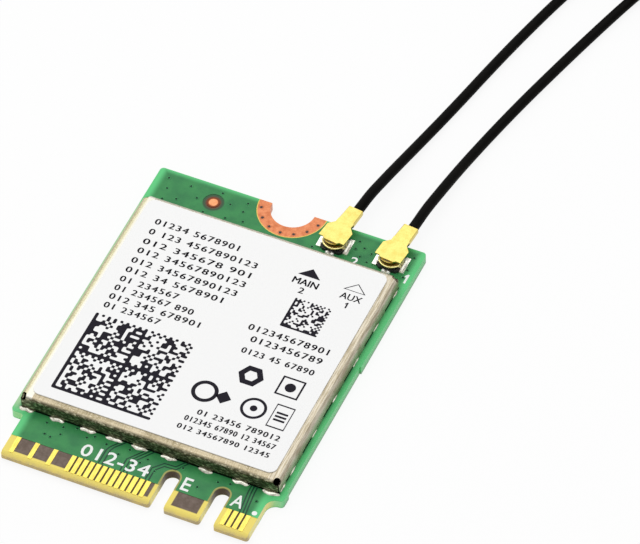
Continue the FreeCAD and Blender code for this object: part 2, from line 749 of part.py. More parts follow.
def receptacle_shell(label, x):
    """Ground ring on a strap that folds over the base into two solder tabs."""
    body = new_body(label)
    leg_out = f"{BASE_HALF} + leg_thickness"
    strap = new_sketch(body, label + "_strap", "base_height")
    draw_box(strap, f"-({leg_out})", leg_out, "-strap_width / 2", "strap_width / 2")
    pad(body, strap, "strap_thickness")
    for sign in ("-1", "1"):
        name = "left" if sign == "-1" else "right"
        near = f"({sign}) * {BASE_HALF}"
        far = f"({sign}) * ({leg_out})"
        reach = f"({sign}) * ({BASE_HALF} + tab_reach)"
        leg = new_sketch(body, f"{label}_{name}_leg")
        draw_box(leg, near, far, "-strap_width / 2", "strap_width / 2")
        pad(body, leg, "base_height")
        tab = new_sketch(body, f"{label}_{name}_tab")
        draw_box(tab, near, reach, "-tab_length / 2", "tab_length / 2")
        pad(body, tab, "tab_thickness")
    ring = draw_circle(new_sketch(body, label + "_ring", "base_height"), 0, 0, "ring_radius")
    pad(body, ring, "ring_top - base_height")
    bore = draw_circle(new_sketch(body, label + "_bore", STRAP_TOP), 0, 0, "ring_radius - ring_wall")
    pocket(body, bore, f"ring_top - ({STRAP_TOP})", forward=True)
    eye = draw_circle(new_sketch(body, label + "_eye", "base_height"), 0, 0, "strap_eye")
    pocket(body, eye, "strap_thickness", forward=True)
    node(place(body, x, PORT_Y, "board_thickness"), label)


def receptacle_pin(label, x):
    """Pin with a tapered nose, whose tail runs under the base to the front."""
    body = new_body(label)
    post = draw_circle(new_sketch(body, label + "_post"), 0, 0, "pin_radius")
    rod = pad(body, post, "pin_top")
    dress(body, "Chamfer", rod, lies_at("pin_top"), Size="pin_tip")
    tail = new_sketch(body, label + "_tail")
    draw_box(tail, "-tail_width / 2", "tail_width / 2", f"-{BASE_HALF} - tail_reach", "tail_width / 2")
    pad(body, tail, "tail_thickness")
    node(place(body, x, PORT_Y, "board_thickness"), label)


# Push-on plugs, drawn about the port's axis with the lead along +Y

PLATE_UNDER = "plug_height - plug_sheet"
SKIRT_IN = "ring_radius + skirt_clearance"
SKIRT_OUT = "ring_radius + skirt_clearance + skirt_wall"
BARREL_AXIS = "plug_height - lead_drop"
LEAD_START = "barrel_start + crimp_inset"


def plug_shell(label):
    """Stamped plate with a split skirt below it and a crimp barrel folded round the lead."""
    body = new_body(label)
    plate = draw_polygon(new_sketch(body, label + "_plate", PLATE_UNDER), [
        ("-plate_half_width", "plate_front"), ("plate_half_width", "plate_front"),
        ("plate_half_width", "plate_back"), ("neck_half_width", "neck_start"),
        ("neck_half_width", "barrel_start"), ("-neck_half_width", "barrel_start"),
        ("-neck_half_width", "neck_start"), ("-plate_half_width", "plate_back"),
    ])
    pad(body, plate, "plug_sheet")
    cap = draw_circle(new_sketch(body, label + "_cap", PLATE_UNDER), 0, 0, SKIRT_OUT)
    pad(body, cap, "plug_sheet")
    skirt_low = f"{STRAP_TOP} + skirt_lift"
    skirt = draw_circle(new_sketch(body, label + "_skirt", skirt_low), 0, 0, SKIRT_OUT)
    ring = pad(body, skirt, f"{PLATE_UNDER} - ({skirt_low})")
    dress(body, "Chamfer", ring, lies_at(skirt_low), Size="skirt_edge")
    bore = draw_circle(new_sketch(body, label + "_skirt_bore", skirt_low), 0, 0, SKIRT_IN)
    pocket(body, bore, f"{PLATE_UNDER} - ({skirt_low})", forward=True)
    # A waist above the skirt's lip, and a step down from the cap to the skirt in front of it
    waist = new_sketch(body, label + "_waist", f"{skirt_low} + lip_height")
    draw_circle(waist, 0, 0, f"{SKIRT_OUT} + waist_depth")
    draw_circle(waist, 0, 0, f"{SKIRT_OUT} - waist_depth")
    pocket(body, waist, "waist_height", forward=True)
    step = new_sketch(body, label + "_step", "plug_height")
    draw_box(step, f"-({SKIRT_OUT})", SKIRT_OUT, f"-({SKIRT_OUT})", "cap_front")
    pocket(body, step, "rim_drop")
    # The skirt is open towards the lead and slit on the sides, so that it can spring
    mouth = new_sketch(body, label + "_mouth", skirt_low)
    draw_box(mouth, "-skirt_mouth / 2", "skirt_mouth / 2", 0, "neck_start")
    pocket(body, mouth, f"{PLATE_UNDER} - ({skirt_low})", forward=True)
    slits = new_sketch(body, label + "_slits", skirt_low)
    draw_box(slits, f"-({SKIRT_OUT})", SKIRT_OUT, "-snap_slot / 2", "snap_slot / 2")
    pocket(body, slits, f"({PLATE_UNDER} - ({skirt_low})) / 2", forward=True)
    # Crimp barrel: flat on top, its sides folded in under the lead
    sections = []
    low = "plug_height - barrel_height"
    fold = "plug_height - barrel_side"
    for distance, half in (("barrel_start", "neck_half_width"), ("barrel_end", "barrel_width / 2")):
        section = new_sketch(body, f"{label}_{distance}", f"-{distance}", plane="XZ_Plane")
        draw_polygon(section, [
            ("-barrel_foot / 2", low), ("barrel_foot / 2", low), (half, fold),
            (half, "plug_height - barrel_corner"), (f"{half} - barrel_corner", "plug_height"),
            (f"-({half} - barrel_corner)", "plug_height"), (f"-({half})", "plug_height - barrel_corner"),
            (f"-({half})", fold),
        ])
        sections.append(section)
    barrel = body.newObject("PartDesign::AdditiveLoft", label + "_barrel")
    barrel.Profile = sections[0]
    barrel.Sections = sections[1:]
    barrel.Ruled = True
    wire_way = new_sketch(body, label + "_wire_way", "-barrel_end", plane="XZ_Plane")
    draw_circle(wire_way, 0, BARREL_AXIS, "lead_diameter / 2")
    pocket(body, wire_way, f"barrel_end - ({LEAD_START})", forward=True)
    feed_way = new_sketch(body, label + "_feed_way", f"-({LEAD_START})", plane="XZ_Plane")
    draw_box(feed_way, "-feed_width / 2", "feed_width / 2", f"{PLATE_UNDER} - feed_thickness", PLATE_UNDER)
    pocket(body, feed_way, "crimp_inset", forward=True)
    return node(body, label)


def plug_dielectric(label):
    """Stepped insulator in the skirt, slotted for the feed strip."""
    body = new_body(label)
    flange_low = "ring_top + flange_gap"
    flange = draw_circle(new_sketch(body, label + "_flange", flange_low), 0, 0, SKIRT_IN)
    pad(body, flange, f"{PLATE_UNDER} - ({flange_low})")
    stem = new_sketch(body, label + "_stem", f"{flange_low} - dielectric_drop")
    draw_circle(stem, 0, 0, "ring_radius - ring_wall - dielectric_gap")
    pad(body, stem, "dielectric_drop")
    bore = new_sketch(body, label + "_bore", f"{flange_low} - dielectric_drop")
    draw_circle(bore, 0, 0, "pin_radius + socket_gap + socket_wall")
    pocket(body, bore, f"{PLATE_UNDER} - ({flange_low}) + dielectric_drop", forward=True)
    slot = new_sketch(body, label + "_slot", f"{PLATE_UNDER} - feed_thickness")
    draw_box(slot, "-feed_width / 2", "feed_width / 2", 0, SKIRT_OUT)
    pocket(body, slot, "feed_thickness", forward=True)
    return node(body, label)


def plug_contact(label):
    """Sprung socket on the pin, with a strip that carries the signal back to the lead."""
    body = new_body(label)
    low = f"{PLATE_UNDER} - socket_drop"
    tube = new_sketch(body, label + "_tube", low)
    draw_circle(tube, 0, 0, "pin_radius + socket_gap + socket_wall")
    pad(body, tube, "socket_drop")
    feed = new_sketch(body, label + "_feed", f"{PLATE_UNDER} - feed_thickness")
    draw_box(feed, "-feed_width / 2", "feed_width / 2", 0, LEAD_START)
    pad(body, feed, "feed_thickness")
    bore = draw_circle(new_sketch(body, label + "_bore", low), 0, 0, "pin_radius + socket_gap")
    pocket(body, bore, f"pin_top + socket_gap - ({low})", forward=True)
    return node(body, label)


def plug(prefix):
    """A plug's three pieces, drawn at the port's axis and not yet placed."""
    return [
        plug_shell(f"{prefix}_shell"),
        plug_dielectric(f"{prefix}_insulator"),
        plug_contact(f"{prefix}_contact"),
    ]


# Leads: straight runs joined by tangent arcs, a tied coil, and a plug on the far end


def route_path(points, name):
    """Wire along a route, each corner rounded as widely as its runs allow."""
    corners = [FreeCAD.Vector(*point) for point in points]
    edges = []
    radii = []
    start = corners[0]
    for before, corner, after in zip(corners, corners[1:], corners[2:]):
        come = (corner - before).normalize()
        leave = (after - corner).normalize()
        half_turn = come.getAngle(leave) / 2
        reach = ARC_SHARE * min((corner - before).Length, (after - corner).Length)
        radii.append(reach / math.tan(half_turn))
        arc_start = corner - come * reach
        arc_end = corner + leave * reach
        inward = (leave - come).normalize()
        crown = corner + inward * (radii[-1] / math.cos(half_turn) - radii[-1])
        edges.append(Part.LineSegment(start, arc_start).toShape())
        edges.append(Part.Arc(arc_start, crown, arc_end).toShape())
        start = arc_end
    edges.append(Part.LineSegment(start, corners[-1]).toShape())
    path = Part.Wire(edges)
    print(f"{name}: length {path.Length:.2f}, bend radii", " ".join(f"{radius:.1f}" for radius in radii))
    return path


def lead_tube(points, label):
    """Round lead along a route."""
    path = route_path(points, label)
    first = FreeCAD.Vector(*points[0])
    heading = FreeCAD.Vector(*points[1]) - first
    rim = Part.Wire(Part.Circle(first, heading, value("lead_diameter / 2")).toShape())
    tube = doc.addObject("Part::Feature", label + "_tube")
    tube.Shape = path.makePipeShell([rim], True, False)
    plain_volume = math.pi * value("lead_diameter") ** 2 / 4 * path.Length
    if abs(tube.Shape.Volume - plain_volume) > VOLUME_SHARE * plain_volume:
        raise ValueError(f"{label}: the tube's volume is not its section times its length")
    node(tube, label)


def ring_section(sketch, half):
    """Octagon of a wound bundle, with its flats the given half width from its middle."""
    wide = f"({half})"
    narrow = f"{wide} * {math.tan(math.pi / 8)}"
    draw_polygon(sketch, [
        (f"coil_radius + {x}", y) for x, y in (
            (wide, f"-{narrow}"), (wide, narrow),
            (narrow, wide), (f"-{narrow}", wide),
            (f"-{wide}", narrow), (f"-{wide}", f"-{narrow}"),
            (f"-{narrow}", f"-{wide}"), (narrow, f"-{wide}"),
        )
    ])


def turned(label, sweep, *halves):
    """Ring or part of a ring about Z, with the outer section first and any hollow in it second."""
    body = new_body(label)
    sketch = new_sketch(body, label + "_section", plane="XZ_Plane")
    for half in halves:
        ring_section(sketch, half)
    ring = body.newObject("PartDesign::Revolution", label + "_ring")
    ring.Profile = sketch
    ring.ReferenceAxis = (sketch, ["V_Axis"])
    bind(ring, Angle=sweep)
    return body


def coil(label, middle, tie_label, tie_side):
    """Wound lead as one ring, and the band that ties it."""
    height = "coil_section + tie_thickness"
    node(place(turned(label, 360, "coil_section"), *middle, height), label)
    tie = turned(tie_label, "tie_sweep", "coil_section + tie_thickness", "coil_section")
    node(place(tie, *middle, height, turn=tie_side), tie_label)


def lead(name, port_x, turn, route, middle, tie_side, end_route):
    """One antenna lead with a plug on its port, its coil and the plug on its far end."""
    for piece in plug(f"{name}_plug"):
        place(piece, port_x, PORT_Y, "board_thickness", turn)
    angle = math.radians(value(turn))
    axis_height = value(f"board_thickness + {BARREL_AXIS}")
    on_axis = [value(LEAD_START), value("barrel_end") + LEVEL_RUN]
    out_of_crimp = [
        (value(port_x) - math.sin(angle) * along, value(PORT_Y) + math.cos(angle) * along, axis_height)
        for along in on_axis
    ]
    lead_tube(out_of_crimp + route, f"{name}_lead")
    coil(f"{name}_coil", middle, f"{name}_coil_tie", tie_side)
    lead_tube(end_route, f"{name}_lead_end")
    last = FreeCAD.Vector(*end_route[-1])
    back = FreeCAD.Vector(*end_route[-2]) - last
    facing = math.degrees(math.atan2(-back.x, back.y))
    away = FreeCAD.Vector(back.x, back.y, 0).normalize()
    middle_of_plug = last - away * value(LEAD_START)
    middle_of_plug.z = last.z - value(BARREL_AXIS)
    for piece in plug(f"{name}_end_plug"):
        piece.Placement = FreeCAD.Placement(middle_of_plug, FreeCAD.Rotation(UP, facing))


def write_parts():
    """Check every object, then write one file for each node."""
    doc.recompute()
    faulty = [item.Name for item in doc.Objects if {"Invalid", "Error"} & set(item.State)]
    faulty += [item.Label for item in nodes if item.Shape.isNull() or not item.Shape.isValid()]
    if faulty:
        raise ValueError("failed: " + ", ".join(faulty))
    os.makedirs("parts", exist_ok=True)
    for item in nodes:
        item.Shape.exportStep(f"parts/{item.Label}.step")
    print(len(nodes), "nodes,", sum(len(item.Shape.Solids) for item in nodes), "solids")


circuit_board()
contacts("top_contacts", TOP_RUNS, "first_top_contact", "board_thickness - copper_thickness")
contacts("bottom_contacts", BOTTOM_RUNS, "first_bottom_contact", 0)
screw_land("screw_land_top", "board_thickness - copper_thickness")
screw_land("screw_land_bottom", 0)
fiducial()
shield_can()
shield_solder()
label()
parts_under_shield()
for port, port_x in (("main", MAIN_X), ("aux", AUX_X)):
    receptacle_base(f"{port}_receptacle_base", port_x)
    receptacle_shell(f"{port}_receptacle_shell", port_x)
    receptacle_pin(f"{port}_receptacle_pin", port_x)
lead("main", MAIN_X, "main_lead_turn", MAIN_ROUTE, MAIN_COIL, MAIN_TIE_SIDE, MAIN_END_ROUTE)
lead("aux", AUX_X, "aux_lead_turn", AUX_ROUTE, AUX_COIL, AUX_TIE_SIDE, AUX_END_ROUTE)
write_parts()
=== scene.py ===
import math
import random

import bmesh
import bpy
from mathutils import Matrix, Vector


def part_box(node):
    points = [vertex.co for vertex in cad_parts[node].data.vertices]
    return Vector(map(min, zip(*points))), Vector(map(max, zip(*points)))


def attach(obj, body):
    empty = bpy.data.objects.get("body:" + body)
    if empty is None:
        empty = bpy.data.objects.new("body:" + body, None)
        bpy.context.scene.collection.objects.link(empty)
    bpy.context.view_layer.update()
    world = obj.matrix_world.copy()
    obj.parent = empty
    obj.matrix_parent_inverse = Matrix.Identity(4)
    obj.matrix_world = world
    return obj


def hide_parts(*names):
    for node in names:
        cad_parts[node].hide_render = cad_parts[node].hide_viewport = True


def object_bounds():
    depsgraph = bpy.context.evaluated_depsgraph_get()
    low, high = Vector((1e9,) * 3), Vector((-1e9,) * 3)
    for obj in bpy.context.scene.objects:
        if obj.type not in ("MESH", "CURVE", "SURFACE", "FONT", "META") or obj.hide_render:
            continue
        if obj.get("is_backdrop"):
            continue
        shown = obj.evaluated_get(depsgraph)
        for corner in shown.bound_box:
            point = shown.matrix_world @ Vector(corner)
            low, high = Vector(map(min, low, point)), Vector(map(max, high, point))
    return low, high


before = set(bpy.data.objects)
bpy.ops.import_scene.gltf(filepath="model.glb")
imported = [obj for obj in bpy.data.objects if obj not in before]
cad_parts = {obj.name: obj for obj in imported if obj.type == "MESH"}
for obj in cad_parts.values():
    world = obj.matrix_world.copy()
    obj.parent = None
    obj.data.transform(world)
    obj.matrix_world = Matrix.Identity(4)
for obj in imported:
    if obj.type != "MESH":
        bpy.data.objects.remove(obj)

# Wireless network card with two antenna leads: finishes, print, solder and cords.
# Sizes of pieces are millimetres in the card's own frame, turned to metres where a piece is made.
# Camera, floor and lamps are in metres.

CAD_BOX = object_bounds()
MM = 0.001
PER_MM = 1000.0
SEED = 2230


def add_object(name, data):
    """A new object, linked to the scene."""
    made = bpy.data.objects.new(name, data)
    bpy.context.scene.collection.objects.link(made)
    return made


# Levels and edges that the pieces sit on, from the frame


def span(node):
    """Lowest and highest corner of a node, in millimetres."""
    low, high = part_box(node)
    return low * PER_MM, high * PER_MM


BOARD_LOW, BOARD_HIGH = span("circuit_board")
BOARD_TOP = BOARD_HIGH.z
BOARD_SIDE = BOARD_HIGH.x
BOARD_FRONT = BOARD_LOW.y
BOARD_BACK = BOARD_HIGH.y
SHIELD_LOW, SHIELD_HIGH = span("shield_can")
LABEL_TOP = span("label")[1].z
CONTACT_LOW, CONTACT_HIGH = span("top_contacts")
FIDUCIAL = sum(span("fiducial_dot"), Vector()) / 2

# Camera

CAMERA_PLACE = (0.141396, -0.274859, 0.367417)
CAMERA_RIGHT = (0.910909, 0.412121, -0.020039)
CAMERA_DOWN = (0.300266, -0.695420, -0.652864)
CAMERA_AHEAD = (-0.282995, 0.588683, -0.757210)
CAMERA_LENS = 364.22
SENSOR_WIDTH = 36.0
NEAR_LIMIT = 0.01


def make_camera():
    data = bpy.data.cameras.new("camera")
    data.lens = CAMERA_LENS
    data.sensor_width = SENSOR_WIDTH
    data.sensor_fit = "HORIZONTAL"
    data.clip_start = NEAR_LIMIT
    camera = add_object("camera", data)
    turn = Matrix((CAMERA_RIGHT, -Vector(CAMERA_DOWN), -Vector(CAMERA_AHEAD))).transposed()
    camera.matrix_world = Matrix.Translation(CAMERA_PLACE) @ turn.to_4x4()
    bpy.context.scene.camera = camera


# Cords: routes fitted to the photograph close to the solid leads, then the coil and the tail to the far plug

CORD_DIAMETER = 0.81
CRIMP_REACH = 1.68
BARREL_REACH = 3.0
LEVEL_REACH = 3.4
LEAD_HEIGHT = 1.4
COIL_RADIUS = 4.15
COIL_HEIGHT = 1.07
COIL_TURNS = 4.25
POINTS_PER_TURN = 16
# A spline runs inside the corners of its points; this brings the turns back to their radius
SPLINE_OUTSET = 1.02
SPLINE_STEPS = 6
SPLINE_ORDER = 3
CORD_ROUNDNESS = 4
# Strands lie on a small ring inside the bundle, a quarter of it further on after each turn
STRAND_RING = 0.575
STRAND_START = -45.0
STRAND_STEP = -90.0
# The last stretch leaves the bundle and lies on its outer shoulder
SHOULDER = (1.25, 0.35)
SHOULDER_FROM = 3.6
SHOULDER_BY = 3.9

LEADS = {
    "main": {
        "port": (4.3, 13.15),
        "turn": -7.5,
        "route": [
            (4.88, 18.3, 1.33), (5.12, 19.9, 1.17), (5.34, 21.5, 0.96), (5.84, 24.75, 0.54),
            (6.46, 27.85, 0.42), (7.07, 30.8, 0.42), (7.65, 33.8, 0.42), (8.26, 36.75, 0.42),
            (8.96, 39.8, 0.42), (9.73, 42.9, 0.42), (10.84, 46.7, 0.42), (11.75, 48.75, 0.48),
        ],
        "coil": (7.63, 50.3),
        "coil_start": -18.0,
        "winding": 1,
        "tail": [(6.5, 55.3, 1.2), (4.4, 55.4, 0.6), (2.0, 55.56, 0.52)],
    },
    "aux": {
        "port": (8.9, 13.15),
        "turn": -6.0,
        "route": [
            (9.33, 18.5, 1.31), (9.50, 20.5, 1.08), (9.79, 23.7, 0.66), (10.25, 26.8, 0.42),
            (10.86, 29.75, 0.42), (11.53, 32.7, 0.42), (12.29, 35.75, 0.42), (13.09, 38.85, 0.42),
            (13.93, 41.95, 0.42), (14.83, 45.1, 0.42), (15.92, 48.4, 0.42), (16.6, 51.0, 0.48),
        ],
        "coil": (20.81, 49.77),
        "coil_start": 159.5,
        "winding": -1,
        "tail": [(24.6, 53.2, 1.2), (26.7, 52.3, 0.6), (29.1, 51.98, 0.52)],
    },
}


def on_crimp(lead, reach):
    """A point on the crimp's axis, so far from the middle of the port."""
    turn = math.radians(lead["turn"])
    x, y = lead["port"]
    return (x - reach * math.sin(turn), y + reach * math.cos(turn), LEAD_HEIGHT)


def coil_points(lead):
    """Turns of the put-away length, wound as a bundle of strands."""
    points = []
    count = round(COIL_TURNS * POINTS_PER_TURN)
    for number in range(1, count + 1):
        turns = number / POINTS_PER_TURN
        around = math.radians(STRAND_START + STRAND_STEP * turns)
        out = STRAND_RING * math.cos(around)
        up = STRAND_RING * math.sin(around)
        moved = min(max((turns - SHOULDER_FROM) / (SHOULDER_BY - SHOULDER_FROM), 0.0), 1.0)
        out += (SHOULDER[0] - out) * moved
        up += (SHOULDER[1] - up) * moved
        angle = math.radians(lead["coil_start"] + lead["winding"] * 360.0 * turns)
        radius = COIL_RADIUS * SPLINE_OUTSET + out
        x = lead["coil"][0] + radius * math.cos(angle)
        y = lead["coil"][1] + radius * math.sin(angle)
        points.append((x, y, COIL_HEIGHT + up))
    return points


def make_cord(name, lip):
    lead = LEADS[name]
    start = [on_crimp(lead, CRIMP_REACH), on_crimp(lead, LEVEL_REACH)]
    points = start + lead["route"] + coil_points(lead) + lead["tail"]
    data = bpy.data.curves.new(f"{name}_cord", "CURVE")
    data.dimensions = "3D"
    spline = data.splines.new("NURBS")
    spline.points.add(len(points) - 1)
    for point, place in zip(spline.points, points):
        point.co = (*(Vector(place) * MM), 1.0)
    spline.order_u = SPLINE_ORDER
    spline.use_endpoint_u = True
    data.resolution_u = SPLINE_STEPS
    data.bevel_depth = CORD_DIAMETER / 2 * MM
    data.bevel_resolution = CORD_ROUNDNESS
    data.use_fill_caps = True
    data.materials.append(FINISHES["jacket"])
    cord = add_object(f"{name}_cord", data)
    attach(cord, f"{name}_antenna_lead")
    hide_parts(f"{name}_lead", f"{name}_coil", f"{name}_lead_end")
    carried = ["plug_shell", "plug_insulator", "plug_contact", "coil_tie"]
    carried += ["end_plug_shell", "end_plug_insulator", "end_plug_contact"]
    Vector(on_crimp(lead, BARREL_REACH)) * MM


# Finishes


def rgb(red, green, blue):
    """A screen colour from 0 to 255 as the linear colour that the shader takes."""
    parts = [part / 255 for part in (red, green, blue)]
    linear = [p / 12.92 if p <= 0.04045 else ((p + 0.055) / 1.055) ** 2.4 for p in parts]
    return (*linear, 1.0)


def join(tree, source, target):
    """Link a socket to an input, or set the input to a plain value."""
    if isinstance(source, bpy.types.NodeSocket):
        tree.links.new(source, target)
    else:
        target.default_value = source


def add_node(tree, kind, sources, **settings):
    """A new node with its settings, and with its inputs joined by name or number."""
    made = tree.nodes.new(kind)
    for key, setting in settings.items():
        setattr(made, key, setting)
    for key, source in sources.items():
        join(tree, source, made.inputs[key])
    return made


class Finish:
    """One procedural material, whose places on the part are in millimetres."""

    def __init__(self, name, metallic=0.0, shine=0.5):
        self.material = bpy.data.materials.new(name)
        self.material.use_nodes = True
        self.tree = self.material.node_tree
        self.shader = self.tree.nodes["Principled BSDF"]
        self.metal(metallic)
        self.shader.inputs["Specular IOR Level"].default_value = shine
        place = self.node("ShaderNodeTexCoord", {}).outputs["Object"]
        scaled = self.node("ShaderNodeVectorMath", {0: place, "Scale": PER_MM}, operation="SCALE")
        self.place = scaled.outputs[0]
        self.x, self.y, self.z = self.node("ShaderNodeSeparateXYZ", {0: self.place}).outputs

    def node(self, kind, sources, **settings):
        return add_node(self.tree, kind, sources, **settings)

    def calc(self, operation, first, second=0.0):
        return self.node("ShaderNodeMath", {0: first, 1: second}, operation=operation).outputs[0]

    def times(self, first, second):
        return self.calc("MULTIPLY", first, second)

    def mean(self, first, second, share=0.5):
        """Two numbers in one, the second by share."""
        return self.calc("ADD", self.times(first, 1 - share), self.times(second, share))

    def rise(self, number, low, high):
        """0 below low, 1 above high and smooth between; low may be the larger one."""
        sources = {"Value": number, "From Min": low, "From Max": high}
        return self.node("ShaderNodeMapRange", sources, interpolation_type="SMOOTHSTEP").outputs["Result"]

    def from_middle(self, number, middle, half):
        """Distance outside a stretch of an axis, negative inside it."""
        offset = self.calc("ABSOLUTE", self.calc("SUBTRACT", number, middle))
        return self.calc("SUBTRACT", offset, half)

    def in_box(self, left, right, low, high, soft=0.03):
        """1 inside a rectangle of the plan, 0 outside."""
        across = self.from_middle(self.x, (left + right) / 2, (right - left) / 2)
        along = self.from_middle(self.y, (low + high) / 2, (high - low) / 2)
        return self.rise(self.calc("MAXIMUM", across, along), soft, -soft)

    def in_disc(self, x, y, radius, soft=0.03):
        """1 inside an upright cylinder, 0 outside."""
        flat = self.node("ShaderNodeCombineXYZ", {0: self.x, 1: self.y}).outputs[0]
        away = self.node("ShaderNodeVectorMath", {0: flat, 1: (x, y, 0.0)}, operation="DISTANCE")
        return self.rise(away.outputs["Value"], radius + soft, radius - soft)

    def noise(self, scale, detail=3.0, roughness=0.5, stretch=(1.0, 1.0, 1.0)):
        """Noise from 0 to 1, with so many grains to the millimetre."""
        place = self.node("ShaderNodeVectorMath", {0: self.place, 1: stretch}, operation="MULTIPLY")
        sources = {"Vector": place.outputs[0], "Scale": scale, "Detail": detail, "Roughness": roughness}
        return self.node("ShaderNodeTexNoise", sources).outputs["Fac"]

    def blend(self, share, first, second):
        """One colour or shade over another, by share."""
        return self.node("ShaderNodeMix", {"Factor": share, 6: first, 7: second}, data_type="RGBA").outputs[2]

    def scale(self, share, low, high):
        """A number between low and high, by share."""
        sources = {"Value": share, "To Min": low, "To Max": high}
        return self.node("ShaderNodeMapRange", sources).outputs["Result"]

    def mottle(self, cloud, first, second, low=0.35, high=0.7):
        """One colour with the other where a noise is high."""
        return self.blend(self.rise(cloud, low, high), first, second)

    def metal(self, source):
        join(self.tree, source, self.shader.inputs["Metallic"])

    def done(self, colour, gloss, roughness, height, depth, strength=0.5):
        """The material, with roughness by a noise and relief in its shading, depth in millimetres."""
        relief = self.node("ShaderNodeBump", {"Strength": strength, "Distance": depth * MM, "Height": height})
        join(self.tree, colour, self.shader.inputs["Base Color"])
        join(self.tree, self.scale(gloss, *roughness), self.shader.inputs["Roughness"])
        join(self.tree, relief.outputs[0], self.shader.inputs["Normal"])
        return self.material


def plain_finish(name, base, marks, metallic, roughness, grain, relief, shine=0.5, stretch=(1.0, 1.0, 1.0)):
    """A base colour broken by softer marks, with grain in its gloss and relief."""
    finish = Finish(name, metallic, shine=shine)
    cloud = finish.noise(grain, 5.0, 0.6, stretch)
    colour = finish.mottle(cloud, rgb(*base), rgb(*marks))
    return finish.done(colour, cloud, roughness, finish.noise(grain * 4, 3.0, 0.6, stretch), relief)


# Circuit board: mask over copper, bright bare laminate at the rim, bare contact strip

MASK_GREEN = rgb(58, 142, 80)
MASK_DEEP = rgb(44, 122, 72)
RIM_GREEN = rgb(96, 206, 130)
LEFT_RIM = rgb(172, 214, 166)
RIM_WIDTH = 0.5
BACK_RIM = 0.2
EDGE_GREEN = rgb(104, 206, 130)
EDGE_LINE = rgb(140, 146, 132)
LIT_SHOULDER_GREEN = rgb(150, 232, 168)
SHADE_UNDER_SHIELD = rgb(8, 18, 12)
BARE_YELLOW = rgb(244, 224, 112)
BARE_SIDE = rgb(250, 240, 156)
BARE_TAN = rgb(220, 194, 112)
BARE_GREY = rgb(188, 170, 128)
BARE_LOW = rgb(164, 148, 116)
BARE_DARK = rgb(98, 82, 70)
BARE_SHADE = rgb(118, 102, 92)
GAP_BROWN = rgb(76, 60, 26)
SLOT_RIM = rgb(166, 164, 94)
SLOT_RIM_WIDTH = 0.12
SLOT_SHADE = rgb(84, 66, 38)
SLOT_SHADE_WIDTH = 0.08
CLEARING_GREEN = rgb(54, 84, 58)
CLEARING_BROWN = rgb(108, 62, 44)
NOTCH_COPPER = rgb(204, 132, 98)
NOTCH_RADIUS = 1.75
LAND_RADIUS = 2.8
CLEARING_RADIUS = 0.82
CLEARING_INNER = 0.6
BARE_TOP = BOARD_FRONT + 1.9
TONGUE_END = BOARD_FRONT + 4.0
TONGUE_INSET = 1.075
# Dark fields of the contact strip along X, clear of its yellow rim
DARK_FIELDS = [(-9.42, 1.74), (3.62, 5.70)]
FIELD_INSET = 0.2
# Stretches with contacts side by side, whose gaps are darker and reach nearly to the tips
GAP_FIELDS = [(-4.75, 1.25), (7.7, 9.3)]
GAP_INSET = 0.06
# The tongue's two key slots: middles along X, half width and the middle of the round end
KEY_SLOTS = (2.625, 6.625)
SLOT_HALF = 0.6
SLOT_END = BOARD_FRONT + 2.9


def near_slot(finish, middle, margin):
    """1 within a margin of a key slot, 0 beyond it."""
    half = SLOT_HALF + margin
    straight = finish.in_box(middle - half, middle + half, BOARD_FRONT - 1.0, SLOT_END)
    return finish.calc("MAXIMUM", straight, finish.in_disc(middle, SLOT_END, half))


def board_faces(finish):
    """Mask with its bright rim, the bare strip, painted shade under the shield and the clearing round the
    dot.
    """
    cloud = finish.noise(0.9, 4.0, 0.55)
    mask = finish.mottle(cloud, MASK_GREEN, MASK_DEEP, 0.3, 0.72)
    before_shoulder = finish.calc("SUBTRACT", TONGUE_END + RIM_WIDTH, finish.y)
    wide = finish.from_middle(finish.x, 0.0, BOARD_SIDE - RIM_WIDTH)
    back = finish.from_middle(finish.y, 0.0, BOARD_BACK - BACK_RIM)
    tongue = finish.from_middle(finish.x, 0.0, BOARD_SIDE - TONGUE_INSET - RIM_WIDTH)
    in_tongue = finish.calc("MINIMUM", tongue, before_shoulder)
    outer = finish.calc("MAXIMUM", finish.calc("MAXIMUM", wide, back), in_tongue)
    beside = finish.in_box(-BOARD_SIDE - 1.0, -BOARD_SIDE + RIM_WIDTH, SHIELD_LOW.y, SHIELD_HIGH.y, 0.6)
    rim = finish.blend(beside, RIM_GREEN, LEFT_RIM)
    covered = finish.blend(finish.rise(outer, -0.3, 0.3), mask, rim)
    for slot in KEY_SLOTS:
        covered = finish.blend(near_slot(finish, slot, SLOT_RIM_WIDTH), covered, SLOT_RIM)
    strip = finish.rise(finish.y, BARE_TOP + 0.015, BARE_TOP - 0.015)
    dark = finish.mottle(finish.noise(2.2, 5.0, 0.6), BARE_DARK, BARE_SHADE)
    bare = BARE_YELLOW
    for fields, inset, shade in ((DARK_FIELDS, FIELD_INSET, dark), (GAP_FIELDS, GAP_INSET, GAP_BROWN)):
        for left, right in fields:
            field = finish.in_box(left, right, CONTACT_LOW.y + inset, BARE_TOP + 1.0, 0.04)
            bare = finish.blend(field, bare, shade)
    top = finish.blend(strip, covered, bare)
    # These are on the top face alone
    upper = finish.rise(finish.z, BOARD_TOP * 0.4, BOARD_TOP * 0.6)
    # Painted shade: near black on the top face under the shield
    under = finish.in_box(SHIELD_LOW.x, SHIELD_HIGH.x, SHIELD_LOW.y, SHIELD_HIGH.y, 0.04)
    clearing = finish.in_disc(FIDUCIAL.x, FIDUCIAL.y, CLEARING_RADIUS, 0.08)
    inner = finish.in_disc(FIDUCIAL.x, FIDUCIAL.y, CLEARING_INNER, 0.08)
    for share, tone in ((under, SHADE_UNDER_SHIELD), (clearing, CLEARING_GREEN), (inner, CLEARING_BROWN)):
        top = finish.blend(finish.times(upper, share), top, tone)
    return top


